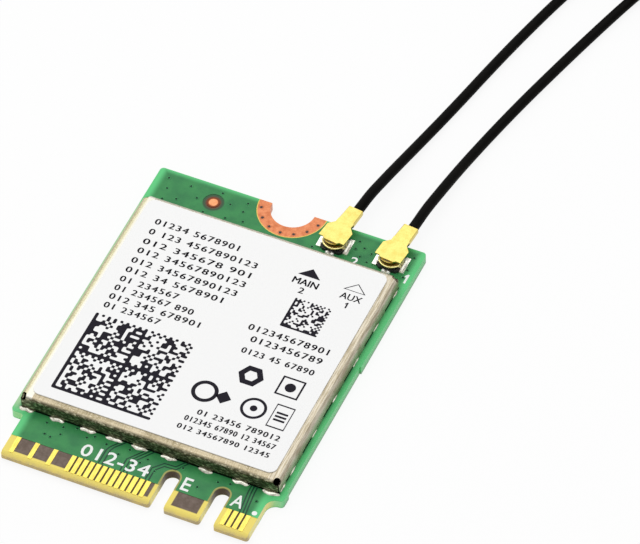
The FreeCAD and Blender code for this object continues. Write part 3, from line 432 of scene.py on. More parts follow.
def board_edge(finish):
    """The cut edge: green along the body and paler on the shoulders as a painted highlight, bare and darker
    downwards round the tongue, painted shade in the slots.
    """
    specks = finish.noise(3.0, 5.0, 0.65, (1.0, 1.0, 2.5))
    low = finish.rise(finish.z, BOARD_TOP * 0.36, BOARD_TOP * 0.1)
    green = finish.blend(low, EDGE_GREEN, EDGE_LINE)
    # Painted highlight: the shoulder walls, which face the front, paler green
    green = finish.blend(finish.rise(finish.y, TONGUE_END + 0.3, TONGUE_END), green, LIT_SHOULDER_GREEN)
    # The front face: yellow at the top, tan and grey mottle lower down, darker again at its foot
    front = finish.rise(finish.y, BOARD_FRONT + 0.6, BOARD_FRONT + 0.2)
    lower = finish.times(front, finish.rise(finish.z, BOARD_TOP * 0.95, BOARD_TOP * 0.6))
    lower_front_tone = finish.mottle(finish.noise(0.7, 4.0, 0.65), BARE_TAN, BARE_GREY, 0.38, 0.62)
    bare = finish.blend(lower, finish.blend(front, BARE_SIDE, BARE_YELLOW), lower_front_tone)
    bare = finish.mottle(specks, bare, BARE_YELLOW, 0.55, 0.8)
    bare = finish.blend(finish.times(front, low), bare, BARE_LOW)
    # Painted shade: dark brown on the slot walls, growing towards each slot's round end
    deep = finish.rise(finish.y, BOARD_FRONT + 1.2, SLOT_END)
    for slot in KEY_SLOTS:
        inside = finish.times(near_slot(finish, slot, SLOT_SHADE_WIDTH), deep)
        bare = finish.blend(inside, bare, SLOT_SHADE)
    return finish.blend(finish.rise(finish.y, TONGUE_END + 0.1, TONGUE_END - 0.5), green, bare)


def board_finish():
    finish = Finish("solder_mask", shine=0.25)
    wall = finish.from_middle(finish.z, BOARD_TOP / 2, BOARD_TOP / 2 - 0.05)
    colour = finish.blend(finish.rise(wall, 0.01, -0.03), board_faces(finish), board_edge(finish))
    notch = finish.in_disc(0.0, BOARD_BACK, NOTCH_RADIUS + 0.06, 0.02)
    colour = finish.blend(notch, colour, NOTCH_COPPER)
    finish.metal(notch)
    return finish.done(colour, finish.noise(6.0, 3.0), (0.28, 0.44), finish.noise(9.0, 4.0), 0.006, 0.35)


LAND_TONES = (rgb(198, 127, 90), rgb(178, 105, 70))
LAND_RIM = rgb(196, 168, 88)
LAND_DISC = (0.0, BOARD_BACK, LAND_RADIUS - 0.07, 0.03)
DOT_TONES = (rgb(218, 150, 106), rgb(204, 134, 92))
DOT_RIM = rgb(112, 62, 42)
DOT_DISC = (FIDUCIAL.x, FIDUCIAL.y, 0.35, 0.05)


def copper_finish(name, grain, tones, rim, disc, roughness, relief):
    """Bare copper in two tones, with another one outside a disc, where mask or plating meets its rim."""
    finish = Finish(name, 1.0)
    cloud = finish.noise(*grain)
    colour = finish.blend(finish.in_disc(*disc), rim, finish.mottle(cloud, *tones))
    return finish.done(colour, cloud, roughness, finish.noise(14.0, 4.0), relief)


SHEET_PALE = rgb(176, 164, 138)
SHEET_DEEP = rgb(136, 125, 98)
SHEET_SPARK = rgb(204, 195, 174)
SIDE_PALE = rgb(192, 184, 167)
SIDE_DEEP = rgb(158, 147, 124)
BACK_PALE = rgb(198, 193, 180)
BACK_DEEP = rgb(160, 153, 136)
LEFT_PALE = rgb(208, 205, 193)
LEFT_BEND = rgb(202, 197, 166)
LEFT_DEEP = rgb(172, 164, 130)
MARGIN = 0.9
FRONT_WALL_SHADE = rgb(82, 80, 60)
WALL_SPECK = rgb(196, 192, 164)
INNER_SHADE = rgb(22, 21, 17)
INNER_DEPTH = 0.12


def shield_finish():
    """Tinned sheet: rolled streaks, a fine sparkle, paler sides and back, painted shade on the front wall and
    inside the can.
    """
    finish = Finish("tinned_sheet", 1.0)
    low, high = SHIELD_LOW, SHIELD_HIGH
    on_walls = finish.noise(1.6, 5.0, 0.65, (0.35, 0.35, 7.0))
    on_lid = finish.noise(1.6, 5.0, 0.65, (6.0, 0.3, 0.3))
    side = finish.rise(finish.from_middle(finish.x, 0.0, high.x - MARGIN), -0.05, 0.05)
    back = finish.rise(finish.y, high.y - MARGIN, high.y - MARGIN + 0.1)
    streaks = finish.mean(on_walls, on_lid)
    sparkle = finish.noise(11.0, 4.0, 0.75)
    base = finish.mottle(streaks, SHEET_PALE, SHEET_DEEP, 0.4, 0.62)
    base = finish.mottle(sparkle, base, SHEET_SPARK, 0.5, 0.72)
    base = finish.blend(back, base, finish.mottle(sparkle, BACK_PALE, BACK_DEEP, 0.42, 0.62))
    base = finish.blend(side, base, finish.mottle(on_lid, SIDE_PALE, SIDE_DEEP, 0.42, 0.6))
    left = finish.rise(finish.x, low.x + MARGIN + 0.1, low.x + MARGIN)
    bend = finish.mottle(sparkle, LEFT_BEND, LEFT_DEEP, 0.42, 0.62)
    flat = finish.rise(finish.x, low.x + 0.36, low.x + 0.5)
    base = finish.blend(left, base, finish.blend(flat, bend, LEFT_PALE))
    # Painted shade: the front wall dark olive, with lighter specks
    shaded_front = finish.rise(finish.y, low.y + 0.16, low.y + 0.03)
    specks = finish.noise(4.0, 4.0, 0.7, (0.7, 1.0, 1.3))
    base = finish.blend(shaded_front, base, finish.mottle(specks, FRONT_WALL_SHADE, WALL_SPECK, 0.46, 0.68))
    # Painted shade: near black on the inside of the can, below its lid
    plan = finish.in_box(low.x + INNER_DEPTH, high.x - INNER_DEPTH, low.y + INNER_DEPTH, high.y - INNER_DEPTH)
    below = finish.rise(finish.z, high.z - INNER_DEPTH + 0.02, high.z - INNER_DEPTH - 0.02)
    base = finish.blend(finish.times(plan, below), base, INNER_SHADE)
    return finish.done(base, streaks, (0.36, 0.54), finish.mean(streaks, sparkle, 0.4), 0.012)


def paper_finish():
    finish = Finish("label_paper")
    fibres = finish.noise(7.0, 5.0, 0.65, (1.0, 2.2, 1.0))
    colour = finish.blend(fibres, rgb(247, 247, 247), rgb(251, 251, 250))
    return finish.done(colour, fibres, (0.5, 0.66), fibres, 0.004, 0.3)


PLUG_PALE = rgb(216, 198, 114)
PLUG_DEEP = rgb(206, 184, 98)
WAIST_SHADE = rgb(96, 66, 18)
LIP_HIGHLIGHT = rgb(250, 236, 158)
# The plug's skirt: radius about the port's axis, and the levels of its foot, lip and waist
SKIRT_RADIUS = 0.91
SKIRT_FOOT = BOARD_TOP + 0.43
LIP_TOP = BOARD_TOP + 0.59
WAIST_TOP = BOARD_TOP + 0.96
LIP_METAL = 0.3


def plug_finish():
    """Pale gold, with painted shade, dark brown, in the waist of the skirt and a painted highlight on its
    lip.
    """
    finish = Finish("pale_gold", 1.0)
    cloud = finish.noise(2.4, 5.0, 0.6)
    base = finish.mottle(cloud, PLUG_PALE, PLUG_DEEP)
    discs = [finish.in_disc(*lead["port"], SKIRT_RADIUS + 0.04, 0.02) for lead in LEADS.values()]
    skirt = finish.calc("MAXIMUM", *discs)
    # Painted shade in the skirt's waist, and a painted highlight, pale gold, on its lip
    for low, high, tone in ((LIP_TOP, WAIST_TOP, WAIST_SHADE), (SKIRT_FOOT, LIP_TOP, LIP_HIGHLIGHT)):
        level = finish.from_middle(finish.z, (low + high) / 2, (high - low) / 2)
        ring = finish.times(skirt, finish.rise(level, 0.02, -0.02))
        base = finish.blend(ring, base, tone)
    # The last ring is the lip, which is less of a mirror
    finish.metal(finish.scale(ring, 1.0, LIP_METAL))
    return finish.done(base, cloud, (0.24, 0.4), finish.noise(9.6, 3.0, 0.6), 0.003)


def jacket_finish():
    """Extruded jacket with faint lines along it and dull patches."""
    finish = Finish("black_jacket", shine=0.04)
    cloud = finish.noise(1.3, 4.0, 0.6)
    colour = finish.mottle(cloud, rgb(7, 6, 5), rgb(14, 12, 10), 0.35, 0.75)
    return finish.done(colour, cloud, (0.38, 0.55), finish.noise(9.0, 4.0, 0.6, (1.0, 0.2, 1.0)), 0.006, 0.4)


# Rolling marks along the contacts
ROLLED = (4.0, 0.6, 1.0)

# Name, base, marks, metal, roughness from and to, grain, relief and, where not plain, shine and stretch
PLAIN_FINISHES = {
    "fingers": ("contact_gold", (220, 202, 100), (204, 182, 84), 1.0, (0.28, 0.44), 3.0, 0.003, 0.5, ROLLED),
    "solder": ("solder", (226, 224, 212), (150, 148, 134), 1.0, (0.16, 0.36), 2.0, 0.01),
    # Solder drops: near white and mostly matte, a painted highlight
    "drop": ("solder_painted_highlight", (250, 250, 246), (236, 236, 228), 0.35, (0.3, 0.45), 3.0, 0.001),
    "ink": ("print_ink", (16, 13, 24), (28, 24, 36), 0.0, (0.5, 0.65), 5.0, 0.002, 0.12),
    "silk": ("silkscreen_ink", (252, 253, 252), (244, 248, 245), 0.0, (0.5, 0.65), 4.0, 0.003),
    "via_ring": ("via_mask", (66, 150, 92), (50, 128, 78), 0.0, (0.28, 0.44), 3.0, 0.004, 0.25),
    "via_hole": ("via_hole", (12, 46, 30), (20, 58, 38), 0.0, (0.5, 0.65), 3.0, 0.004, 0.15),
    "land_hole": ("land_hole", (38, 16, 12), (58, 26, 18), 0.0, (0.4, 0.6), 3.0, 0.002),
    "trace": ("trace_gap", (12, 60, 42), (20, 72, 50), 0.0, (0.3, 0.44), 3.0, 0.004, 0.25),
    # The lip bead: pale gold as a painted highlight
    "lip": ("lip_gold_highlight", (250, 238, 166), (240, 224, 146), 1.0, (0.3, 0.42), 3.0, 0.003),
    "contact": ("socket_gold", (250, 222, 120), (228, 192, 88), 1.0, (0.2, 0.34), 3.0, 0.003),
    "silver": ("silver_plating", (250, 249, 244), (238, 235, 226), 1.0, (0.3, 0.46), 3.0, 0.001),
    "black": ("black_moulding", (22, 21, 22), (36, 35, 36), 0.0, (0.42, 0.62), 4.0, 0.006),
    # Insulators: white moulding painted darker as painted shade
    "shaded_white": ("white_moulding", (122, 110, 90), (100, 90, 72), 0.0, (0.5, 0.65), 4.0, 0.004),
    "band": ("tie_band", (32, 31, 31), (48, 46, 45), 0.0, (0.48, 0.64), 3.0, 0.006),
    "package": ("black_package", (30, 30, 32), (46, 46, 48), 0.0, (0.46, 0.62), 6.0, 0.008),
    "can_lid": ("crystal_lid", (214, 211, 202), (188, 184, 174), 1.0, (0.24, 0.4), 4.0, 0.004),
    "ferrite": ("ferrite", (70, 70, 75), (92, 92, 96), 0.0, (0.55, 0.72), 8.0, 0.012),
    "pale_ceramic": ("pale_ceramic", (226, 222, 208), (206, 200, 184), 0.0, (0.4, 0.58), 5.0, 0.004),
    "brown_ceramic": ("brown_ceramic", (146, 118, 88), (122, 96, 70), 0.0, (0.4, 0.58), 6.0, 0.004),
    "dark_ceramic": ("dark_ceramic", (40, 40, 46), (58, 58, 64), 0.0, (0.4, 0.58), 6.0, 0.008),
}
FINISHES = {key: plain_finish(*row) for key, row in PLAIN_FINISHES.items()} | {
    "board": board_finish(),
    "copper": copper_finish(
        "bare_copper", (2.4, 5.0, 0.6), LAND_TONES, LAND_RIM, LAND_DISC, (0.34, 0.5), 0.004),
    "dot": copper_finish("dot_copper", (3.0, 4.0, 0.6), DOT_TONES, DOT_RIM, DOT_DISC, (0.4, 0.55), 0.003),
    "shield": shield_finish(),
    "paper": paper_finish(),
    "plug": plug_finish(),
    "jacket": jacket_finish(),
}

# Which finish each node of the frame wears
NODE_FINISHES = {
    "circuit_board": "board",
    "top_contacts": "fingers",
    "bottom_contacts": "fingers",
    "screw_land_top": "copper",
    "screw_land_bottom": "copper",
    "fiducial_dot": "dot",
    "shield_can": "shield",
    "shield_solder_joints": "solder",
    "label": "paper",
    "wireless_chip": "package",
    "main_front_end_module": "package",
    "aux_front_end_module": "package",
    "power_regulator": "package",
    "crystal": "can_lid",
    "power_inductors": "ferrite",
    "diplexers": "pale_ceramic",
    "capacitors": "brown_ceramic",
    "resistors": "dark_ceramic",
}
PORT_FINISHES = {
    "receptacle_base": "black",
    "receptacle_shell": "silver",
    "receptacle_pin": "silver",
    "plug_shell": "plug",
    "plug_insulator": "shaded_white",
    "plug_contact": "contact",
    "lead": "jacket",
    "coil": "jacket",
    "coil_tie": "band",
    "lead_end": "jacket",
    "end_plug_shell": "plug",
    "end_plug_insulator": "shaded_white",
    "end_plug_contact": "contact",
}


def dress_nodes():
    wanted = dict(NODE_FINISHES)
    for port in LEADS:
        wanted.update({f"{port}_{part}": finish for part, finish in PORT_FINISHES.items()})
    for name, finish in wanted.items():
        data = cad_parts[name].data
        data.materials.clear()
        data.materials.append(FINISHES[finish])


# Pieces made here, gathered corner by corner


class Piece:
    """Corners and faces of one piece, in millimetres."""

    def __init__(self):
        self.corners = []
        self.faces = []
        self.slots = []

    def add(self, corners, faces, slots=None):
        """More corners, and faces on them with the number of each one's finish."""
        start = len(self.corners)
        self.corners += [tuple(corner) for corner in corners]
        self.faces += [[start + index for index in face] for face in faces]
        self.slots += slots or [0] * len(faces)

    def make(self, name, finishes, smooth=False, body="card"):
        """The finished piece, riding on its body."""
        data = bpy.data.meshes.new(name)
        data.from_pydata([Vector(corner) * MM for corner in self.corners], [], self.faces)
        for finish in finishes:
            data.materials.append(FINISHES[finish])
        data.polygons.foreach_set("material_index", self.slots)
        data.polygons.foreach_set("use_smooth", [smooth] * len(self.faces))
        data.validate()
        shape = bmesh.new()
        shape.from_mesh(data)
        bmesh.ops.recalc_face_normals(shape, faces=shape.faces)
        shape.to_mesh(data)
        shape.free()
        made = add_object(name, data)
        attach(made, body)
        return made


def circle(x, y, radius, count, start=0.0):
    """Corners of a round outline, anticlockwise."""
    angles = [start + 2 * math.pi * number / count for number in range(count)]
    return [(x + radius * math.cos(angle), y + radius * math.sin(angle)) for angle in angles]


def loft(piece, rings, slots=None):
    """A skin over rings with as many corners each, closed at both ends; slots has one entry a band."""
    count = len(rings[0])
    last = count * (len(rings) - 1)
    faces = [tuple(reversed(range(count)))]
    for start in range(0, last, count):
        for i in range(count):
            a, b = start + i, start + (i + 1) % count
            faces.append((a, b, b + count, a + count))
    faces.append(tuple(range(last, last + count)))
    if slots:
        slots = [slots[0]] + [slot for slot in slots for _ in range(count)] + [slots[-1]]
    piece.add([corner for ring in rings for corner in ring], faces, slots)


def plate(piece, outline, low, high):
    """A flat shape with a rim, from its anticlockwise outline."""
    loft(piece, [[(x, y, z) for x, y in outline] for z in (low, high)])


def band(piece, outer, inner, low, high):
    """A flat band between two outlines with as many corners."""
    count = len(outer)
    levels = [(outer, low), (inner, low), (inner, high), (outer, high)]
    corners = [(x, y, z) for ring, z in levels for x, y in ring]
    total = len(corners)
    faces = []
    for start in range(0, total, count):
        for i in range(count):
            a, b = start + i, start + (i + 1) % count
            faces.append((a, (a + count) % total, (b + count) % total, b))
    piece.add(corners, faces)


# Lettering from Blender's own plain font

FONT_DETAIL = 3


def letters(text, weight, spacing):
    """Flat lettering as corners and faces, one unit wide, high and deep."""
    data = bpy.data.curves.new("lettering", "FONT")
    data.body = text
    data.resolution_u = FONT_DETAIL
    data.offset = weight
    data.extrude = 0.5
    data.space_character = spacing
    holder = add_object("lettering", data)
    bpy.context.view_layer.update()
    mesh = bpy.data.meshes.new_from_object(holder.evaluated_get(bpy.context.evaluated_depsgraph_get()))
    corners = [vertex.co.copy() for vertex in mesh.vertices]
    faces = [tuple(face.vertices) for face in mesh.polygons]
    bpy.data.objects.remove(holder)
    bpy.data.curves.remove(data)
    bpy.data.meshes.remove(mesh)
    left = min(corner.x for corner in corners)
    low = min(corner.y for corner in corners)
    tall = max(corner.y for corner in corners) - low
    wide = max(corner.x for corner in corners) - left
    return [((c.x - left) / wide, (c.y - low) / tall, c.z + 0.5) for c in corners], faces


def write(piece, layer, text, left, base, width, height, weight=0.0, spacing=1.0):
    """Lettering stretched to a width and height, in a layer from its low to its high level."""
    corners, faces = letters(text, weight, spacing)
    low, high = layer
    piece.add([(left + x * width, base + y * height, low + z * (high - low)) for x, y, z in corners], faces)


# Outline of a figure one with its flag, one unit wide and high
ONE = [(0.36, 0.0), (0.66, 0.0), (0.66, 1.0), (0.44, 1.0), (0.08, 0.74), (0.20, 0.60), (0.36, 0.71)]


def write_one(piece, layer, left, base, width, height):
    plate(piece, [(left + x * width, base + y * height) for x, y in ONE], *layer)


STRIKE = 0.05
LIGHT_STRIKE = 0.03


def write_bold(piece, layer, text, left, base, width, height, spacing=1.0, strike=STRIKE):
    """Lettering struck twice, a little apart."""
    for shift in (0.0, strike):
        write(piece, layer, text, left + shift, base, width - strike, height, 0.0, spacing)


def counting(*groups):
    """Digits in counting order, in groups of the given lengths."""
    digits = iter(range(sum(groups)))
    return " ".join("".join(str(next(digits) % 10) for _ in range(group)) for group in groups)


# Label print: rows of digits, two cell patterns, plain marks and the port marks

INK_LAYER = (LABEL_TOP - 0.002, LABEL_TOP + 0.008)
ROW_HEIGHT = 0.56
ROW_SPACING = 1.2
# Rows on the left of the label: baseline, right end and digit groups
LEFT_START = -8.52
LEFT_ROWS = [
    (8.48, -1.56, (5, 7)),
    (7.42, 0.40, (1, 3, 10)),
    (6.38, 0.34, (3, 6, 3)),
    (5.40, 0.36, (3, 11)),
    (4.36, 0.14, (3, 11)),
    (3.36, -0.55, (3, 2, 7)),
    (2.36, -3.70, (2, 6)),
    (1.42, -2.05, (2, 6, 3)),
    (0.50, -1.10, (3, 3, 6)),
    (-0.42, -3.92, (2, 6)),
]
# Rows on the right: left end, baseline, right end, height and digit groups
RIGHT_ROWS = [
    (2.25, 1.86, 8.77, 0.58, (12,)),
    (2.89, 0.84, 8.67, 0.58, (10,)),
    (2.71, -0.36, 8.58, 0.54, (4, 2, 5)),
    (2.23, -7.02, 8.87, 0.50, (2, 5, 6)),
    (1.59, -7.87, 8.89, 0.50, (6, 5, 2, 5)),
    (1.40, -8.73, 8.81, 0.46, (3, 8, 5)),
]
# Cell patterns: left, low, width, height, cells along a side and blocks along a side
BIG_PATTERN = (-8.68, -8.93, 8.05, 7.83, 32, 2)
SMALL_PATTERN = (4.30, 3.12, 2.98, 2.94, 18, 1)
# Share of cells that are filled, and of those that differ on purpose from the one beside or below
FILL_SHARE = 0.42
SWITCH_SHARE = 0.3
CELL_PARTS = 3
ROUNDING_PASSES = 2
ROUNDING_SHARE = 0.3


def draw_cells(count, draw):
    """Random cells, kept from running together by some that differ from a neighbour."""
    cells = []
    for column in range(count):
        cells.append([])
        for row in range(count):
            filled = draw.random() < FILL_SHARE
            if column and row and draw.random() < SWITCH_SHARE:
                filled = not draw.choice((cells[column - 1][row], cells[column][row - 1]))
            cells[column].append(filled)
    return cells


def cell_pattern(piece, left, low, wide, tall, count, blocks, draw):
    """Blocks of random cells with two solid sides and two dotted ones, their corners rounded by ink."""
    side = count // blocks

    def filled(column, row):
        if column % side == 0 or row % side == 0:
            return True
        if row % side == side - 1:
            return column % 2 == 0
        if column % side == side - 1:
            return row % 2 == 0
        return cells[column][row]

    cells = draw_cells(count, draw)
    fine = count * CELL_PARTS
    grid = bmesh.new()
    known = {}

    def corner(i, j):
        if (i, j) not in known:
            known[i, j] = grid.verts.new((left + wide * i / fine, low + tall * j / fine, 0.0))
        return known[i, j]

    for i in range(fine):
        for j in range(fine):
            if filled(i // CELL_PARTS, j // CELL_PARTS):
                grid.faces.new((corner(i, j), corner(i + 1, j), corner(i + 1, j + 1), corner(i, j + 1)))
    for _ in range(ROUNDING_PASSES):
        moved = {}
        for vertex in grid.verts:
            rim = [edge.other_vert(vertex).co for edge in vertex.link_edges if edge.is_boundary]
            if len(rim) == 2:
                moved[vertex] = vertex.co * (1 - 2 * ROUNDING_SHARE) + (rim[0] + rim[1]) * ROUNDING_SHARE
        for vertex, place in moved.items():
            vertex.co = place
    grid.verts.index_update()
    total = len(grid.verts)
    corners = [(vertex.co.x, vertex.co.y, level) for level in INK_LAYER for vertex in grid.verts]
    faces = []
    for face in grid.faces:
        ring = [vertex.index for vertex in face.verts]
        faces.append(tuple(reversed(ring)))
        faces.append(tuple(total + index for index in ring))
        for loop in face.loops:
            if loop.edge.is_boundary:
                a, b = loop.vert.index, loop.link_loop_next.vert.index
                faces.append((a, b, total + b, total + a))
    piece.add(corners, faces)
    grid.free()


# Plain marks: middle, outer and inner radius, corners, turn of the first corner and narrowing
HALF_RIGHT = math.pi / 4
MARKS = [
    (4.42, -2.15, 1.02, 0.52, 6, 0.0, 1.0),
    (7.55, -2.05, 1.30, 1.10, 4, HALF_RIGHT, 1.0),
    (7.55, -2.05, 0.42, 0.0, 24, 0.0, 1.0),
    (1.92, -4.82, 1.02, 0.72, 40, 0.0, 1.0),
    (3.42, -4.82, 0.62, 0.0, 4, 0.0, 1.0),
    (5.88, -4.88, 1.0, 0.78, 40, 0.0, 1.0),
    (5.88, -4.88, 0.28, 0.0, 20, 0.0, 1.0),
    (8.05, -4.88, 1.60, 1.44, 4, HALF_RIGHT, 0.64),
]
# Bars in the last mark: left and right end, half height and middles
BAR_ENDS = (7.60, 8.50)
BAR_HALF = 0.09
BAR_MIDDLES = (-5.22, -4.88, -4.54)


def plain_marks(piece):
    """Plain shapes in the places of marks: hexagon, square with dot, rings, diamond and a barred box."""
    for x, y, outer, inner, corners, start, narrow in MARKS:
        rings = [circle(x, y, radius, corners, start) for radius in (outer, inner)]
        rings = [[(x + (px - x) * narrow, py) for px, py in ring] for ring in rings]
        if inner:
            band(piece, *rings, *INK_LAYER)
        else:
            plate(piece, rings[0], *INK_LAYER)
    left, right = BAR_ENDS
    for middle in BAR_MIDDLES:
        low, high = middle - BAR_HALF, middle + BAR_HALF
        plate(piece, [(left, low), (right, low), (right, high), (left, high)], *INK_LAYER)


# Port marks: word, digit, middle, width of the word and whether the arrow is solid
PORT_MARKS = [("MAIN", "2", 4.37, 2.06, True), ("AUX", "1", 8.07, 1.72, False)]
WORD_BASE = 7.36
WORD_HEIGHT = 0.60
DIGIT_BASE = 6.56
DIGIT_HEIGHT = 0.56
DIGIT_LEFT = 0.2
DIGIT_WIDTH = 0.44
ONE_WIDTH = 0.4
ARROW_BASE = 8.28
ARROW_TIP = 9.10
ARROW_HALF = 0.90
ARROW_LINE = 0.045


def port_marks(piece):
    for word, digit, middle, wide, solid in PORT_MARKS:
        arrow = [(middle - ARROW_HALF, ARROW_BASE), (middle + ARROW_HALF, ARROW_BASE), (middle, ARROW_TIP)]
        if solid:
            plate(piece, arrow, *INK_LAYER)
        else:
            centre = Vector((middle, ARROW_BASE + (ARROW_TIP - ARROW_BASE) / 3))
            share = 1 - ARROW_LINE * 3 / (ARROW_TIP - ARROW_BASE)
            inner = [tuple(centre.lerp(Vector(corner), share)) for corner in arrow]
            band(piece, arrow, inner, *INK_LAYER)
        strike = STRIKE if solid else LIGHT_STRIKE
        write_bold(piece, INK_LAYER, word, middle - wide / 2, WORD_BASE, wide, WORD_HEIGHT, strike=strike)
        left = middle - DIGIT_LEFT
        if digit == "1":
            write_one(piece, INK_LAYER, left, DIGIT_BASE, ONE_WIDTH, DIGIT_HEIGHT)
        else:
            write_bold(piece, INK_LAYER, digit, left, DIGIT_BASE, DIGIT_WIDTH, DIGIT_HEIGHT)


def label_print():
    piece = Piece()
    draw = random.Random(SEED)
    rows = [(LEFT_START, base, right, ROW_HEIGHT, groups) for base, right, groups in LEFT_ROWS]
    for left, base, right, height, groups in rows + RIGHT_ROWS:
        write_bold(piece, INK_LAYER, counting(*groups), left, base, right - left, height, ROW_SPACING)
    cell_pattern(piece, *BIG_PATTERN, draw)
    cell_pattern(piece, *SMALL_PATTERN, draw)
    plain_marks(piece)
    port_marks(piece)
    piece.make("label_print", ["ink"])


# Board print, vias and trace gaps

SINK = 0.002
SILK_LAYER = (BOARD_TOP - SINK, BOARD_TOP + 0.02)
SILK_WEIGHT = 0.012
SILK_SPACING = 1.1
# Text, left, baseline, width and height
SILK_WORDS = [
    ("012-34", -4.58, -12.88, 5.45, 1.16),
    ("E", 3.58, -12.90, 0.66, 1.22),
    ("A", 7.53, -12.80, 0.92, 1.14),
    ("2", 6.00, 11.72, 0.58, 0.80),
    ("1", 10.32, 11.62, 0.54, 0.90),
]
# Middle, radius and corners
SILK_DOT = (9.54, -12.77, 0.2, 24)
VIAS = [
    (-10.0, 14.2), (-9.7, 13.2), (-8.1, 14.1), (-9.6, 12.1), (-8.6, 12.5), (-7.2, 13.2), (-5.6, 14.4),
    (-4.6, 13.6), (-6.2, 12.1), (-3.4, 14.2), (-3.4, 13.3), (-4.4, 12.2), (-3.0, 12.4), (5.9, 14.1),
    (6.5, 13.6), (5.9, 13.3), (6.5, 12.7), (7.2, 13.3), (7.2, 12.4), (10.3, 14.2), (10.3, 12.9),
    (10.3, 12.1), (2.8, 12.2), (-7.7, -12.1), (-7.2, -12.2), (-6.6, -11.7), (-8.0, -11.1), (-6.7, -11.0),
    (-5.7, -10.7), (-4.7, -11.2), (-4.2, -10.9), (-3.1, -11.2), (-1.9, -11.7), (0.3, -11.3), (-1.3, -11.0),
    (-0.1, -11.8), (1.2, -12.1), (3.0, -11.0), (4.7, -12.2), (5.9, -11.2), (6.8, -11.0), (9.2, -11.7),
]
VIA_RADIUS = 0.17
VIA_HOLE = 0.09
VIA_RISE = 0.014
VIA_CORNERS = 14
# The ring's top and the plug are narrower than its foot and the hole, and the plug is lower than the ring
VIA_TAPER = 0.8
PLUG_RISE = 0.3
LAND_VIAS = 7
LAND_VIA_RADIUS = 2.45
LAND_VIA_FIRST = 197.0
LAND_VIA_STEP = 24.4
LAND_VIA_HOLE = 0.12
LAND_VIA_LIP = LAND_VIA_HOLE * 1.5
LAND_VIA_RISE = VIA_RISE * 0.6
TRACE_WIDTH = 0.11
TRACE_RISE = 0.006
# Gaps in the copper beside the traces, each a listed run of points
TRACES = [
    [(-1.86, -10.5), (-2.46, -11.24), (-2.6, -11.6), (-2.6, -13.08)],
    [(-2.16, -10.5), (-2.76, -11.30), (-2.9, -11.7), (-2.9, -13.08)],
    [(-0.14, -10.5), (-1.15, -11.86), (-1.15, -13.08)],
    [(0.14, -10.5), (-0.87, -11.86), (-0.87, -13.08)],
    [(0.42, -10.5), (-0.59, -11.90), (-0.59, -13.08)],
    [(2.95, -10.45), (2.46, -11.10), (1.57, -11.14), (0.90, -11.88), (0.90, -13.08)],
    [(3.22, -10.45), (2.58, -11.36), (1.68, -11.40), (1.16, -12.0), (1.16, -13.08)],
    [(8.27, -10.5), (8.28, -11.13), (8.44, -12.57), (8.50, -13.08)],
    [(8.50, -10.5), (8.52, -11.13), (8.70, -12.60), (8.74, -13.08)],
    [(8.74, -10.5), (8.76, -11.13), (8.92, -12.64), (8.98, -13.08)],
]


def board_print():
    piece = Piece()
    for text, left, base, wide, height in SILK_WORDS:
        if text == "1":
            write_one(piece, SILK_LAYER, left, base, wide, height)
        else:
            write(piece, SILK_LAYER, text, left, base, wide, height, SILK_WEIGHT, SILK_SPACING)
    plate(piece, circle(*SILK_DOT), *SILK_LAYER)
    piece.make("board_print", ["silk"])


def via(piece, x, y, radius, hole, rise):
    """A low ring in the piece's first finish, with a plugged hole in its second."""
    levels = [(radius, -SINK), (radius * VIA_TAPER, rise), (hole, rise), (hole * VIA_TAPER, rise * PLUG_RISE)]
    rings = [[(px, py, BOARD_TOP + z) for px, py in circle(x, y, r, VIA_CORNERS)] for r, z in levels]
    loft(piece, rings, [0, 0, 1])


def board_vias():
    piece = Piece()
    for x, y in VIAS:
        via(piece, x, y, VIA_RADIUS, VIA_HOLE, VIA_RISE)
    piece.make("board_vias", ["via_ring", "via_hole"], smooth=True)


def land_vias():
    """Stitching holes round the screw land, each with a low copper lip."""
    piece = Piece()
    for number in range(LAND_VIAS):
        angle = math.radians(LAND_VIA_FIRST + LAND_VIA_STEP * number)
        x = LAND_VIA_RADIUS * math.cos(angle)
        y = BOARD_BACK + LAND_VIA_RADIUS * math.sin(angle)
        via(piece, x, y, LAND_VIA_LIP, LAND_VIA_HOLE, LAND_VIA_RISE)
    piece.make("land_vias", ["copper", "land_hole"], smooth=True)


def ribbon(piece, route, width, low, high):
    """A flat strip of even width along a run of points."""
    points = [Vector(point) for point in route]
    left, right = [], []
    for number, point in enumerate(points):
        before = points[max(number - 1, 0)]
        after = points[min(number + 1, len(points) - 1)]
        ahead = (after - before).normalized()
        aside = Vector((-ahead.y, ahead.x)) * width / 2
        left.append(point + aside)
        right.append(point - aside)
    plate(piece, [tuple(p) for p in right + left[::-1]], low, high)


def board_traces():
    piece = Piece()
    for route in TRACES:
        ribbon(piece, route, TRACE_WIDTH, BOARD_TOP - SINK, BOARD_TOP + TRACE_RISE)
    piece.make("board_traces", ["trace"])


# Rounded tips that carry each top contact down to the bevel
CONTACT_HALF = 0.175
CONTACT_PITCH = 0.5
FIRST_CONTACT = 9.25
# Contacts skipped before each run, contacts in it and the step between them
CONTACT_RUNS = [(0, 4, 1), (16, 13, 1), (31, 3, 3)]
TIP_LENGTH = 0.24
TIP_CORNER = 0.06
TIP_RISE = 0.001


def contact_tips():
    piece = Piece()
    low, high = CONTACT_LOW.y, CONTACT_LOW.y + TIP_LENGTH
    half = CONTACT_HALF
    for skipped, count, step in CONTACT_RUNS:
        for number in range(count):
            x = FIRST_CONTACT - (skipped + number * step) * CONTACT_PITCH
            outline = [
                (x - half, high), (x - half, low + TIP_CORNER), (x - half + TIP_CORNER, low),
                (x + half - TIP_CORNER, low), (x + half, low + TIP_CORNER), (x + half, high),
            ]
            plate(piece, outline, CONTACT_LOW.z, CONTACT_HIGH.z + TIP_RISE)
    piece.make("contact_tips", ["fingers"])


# Solder: fillets along the shield's feet

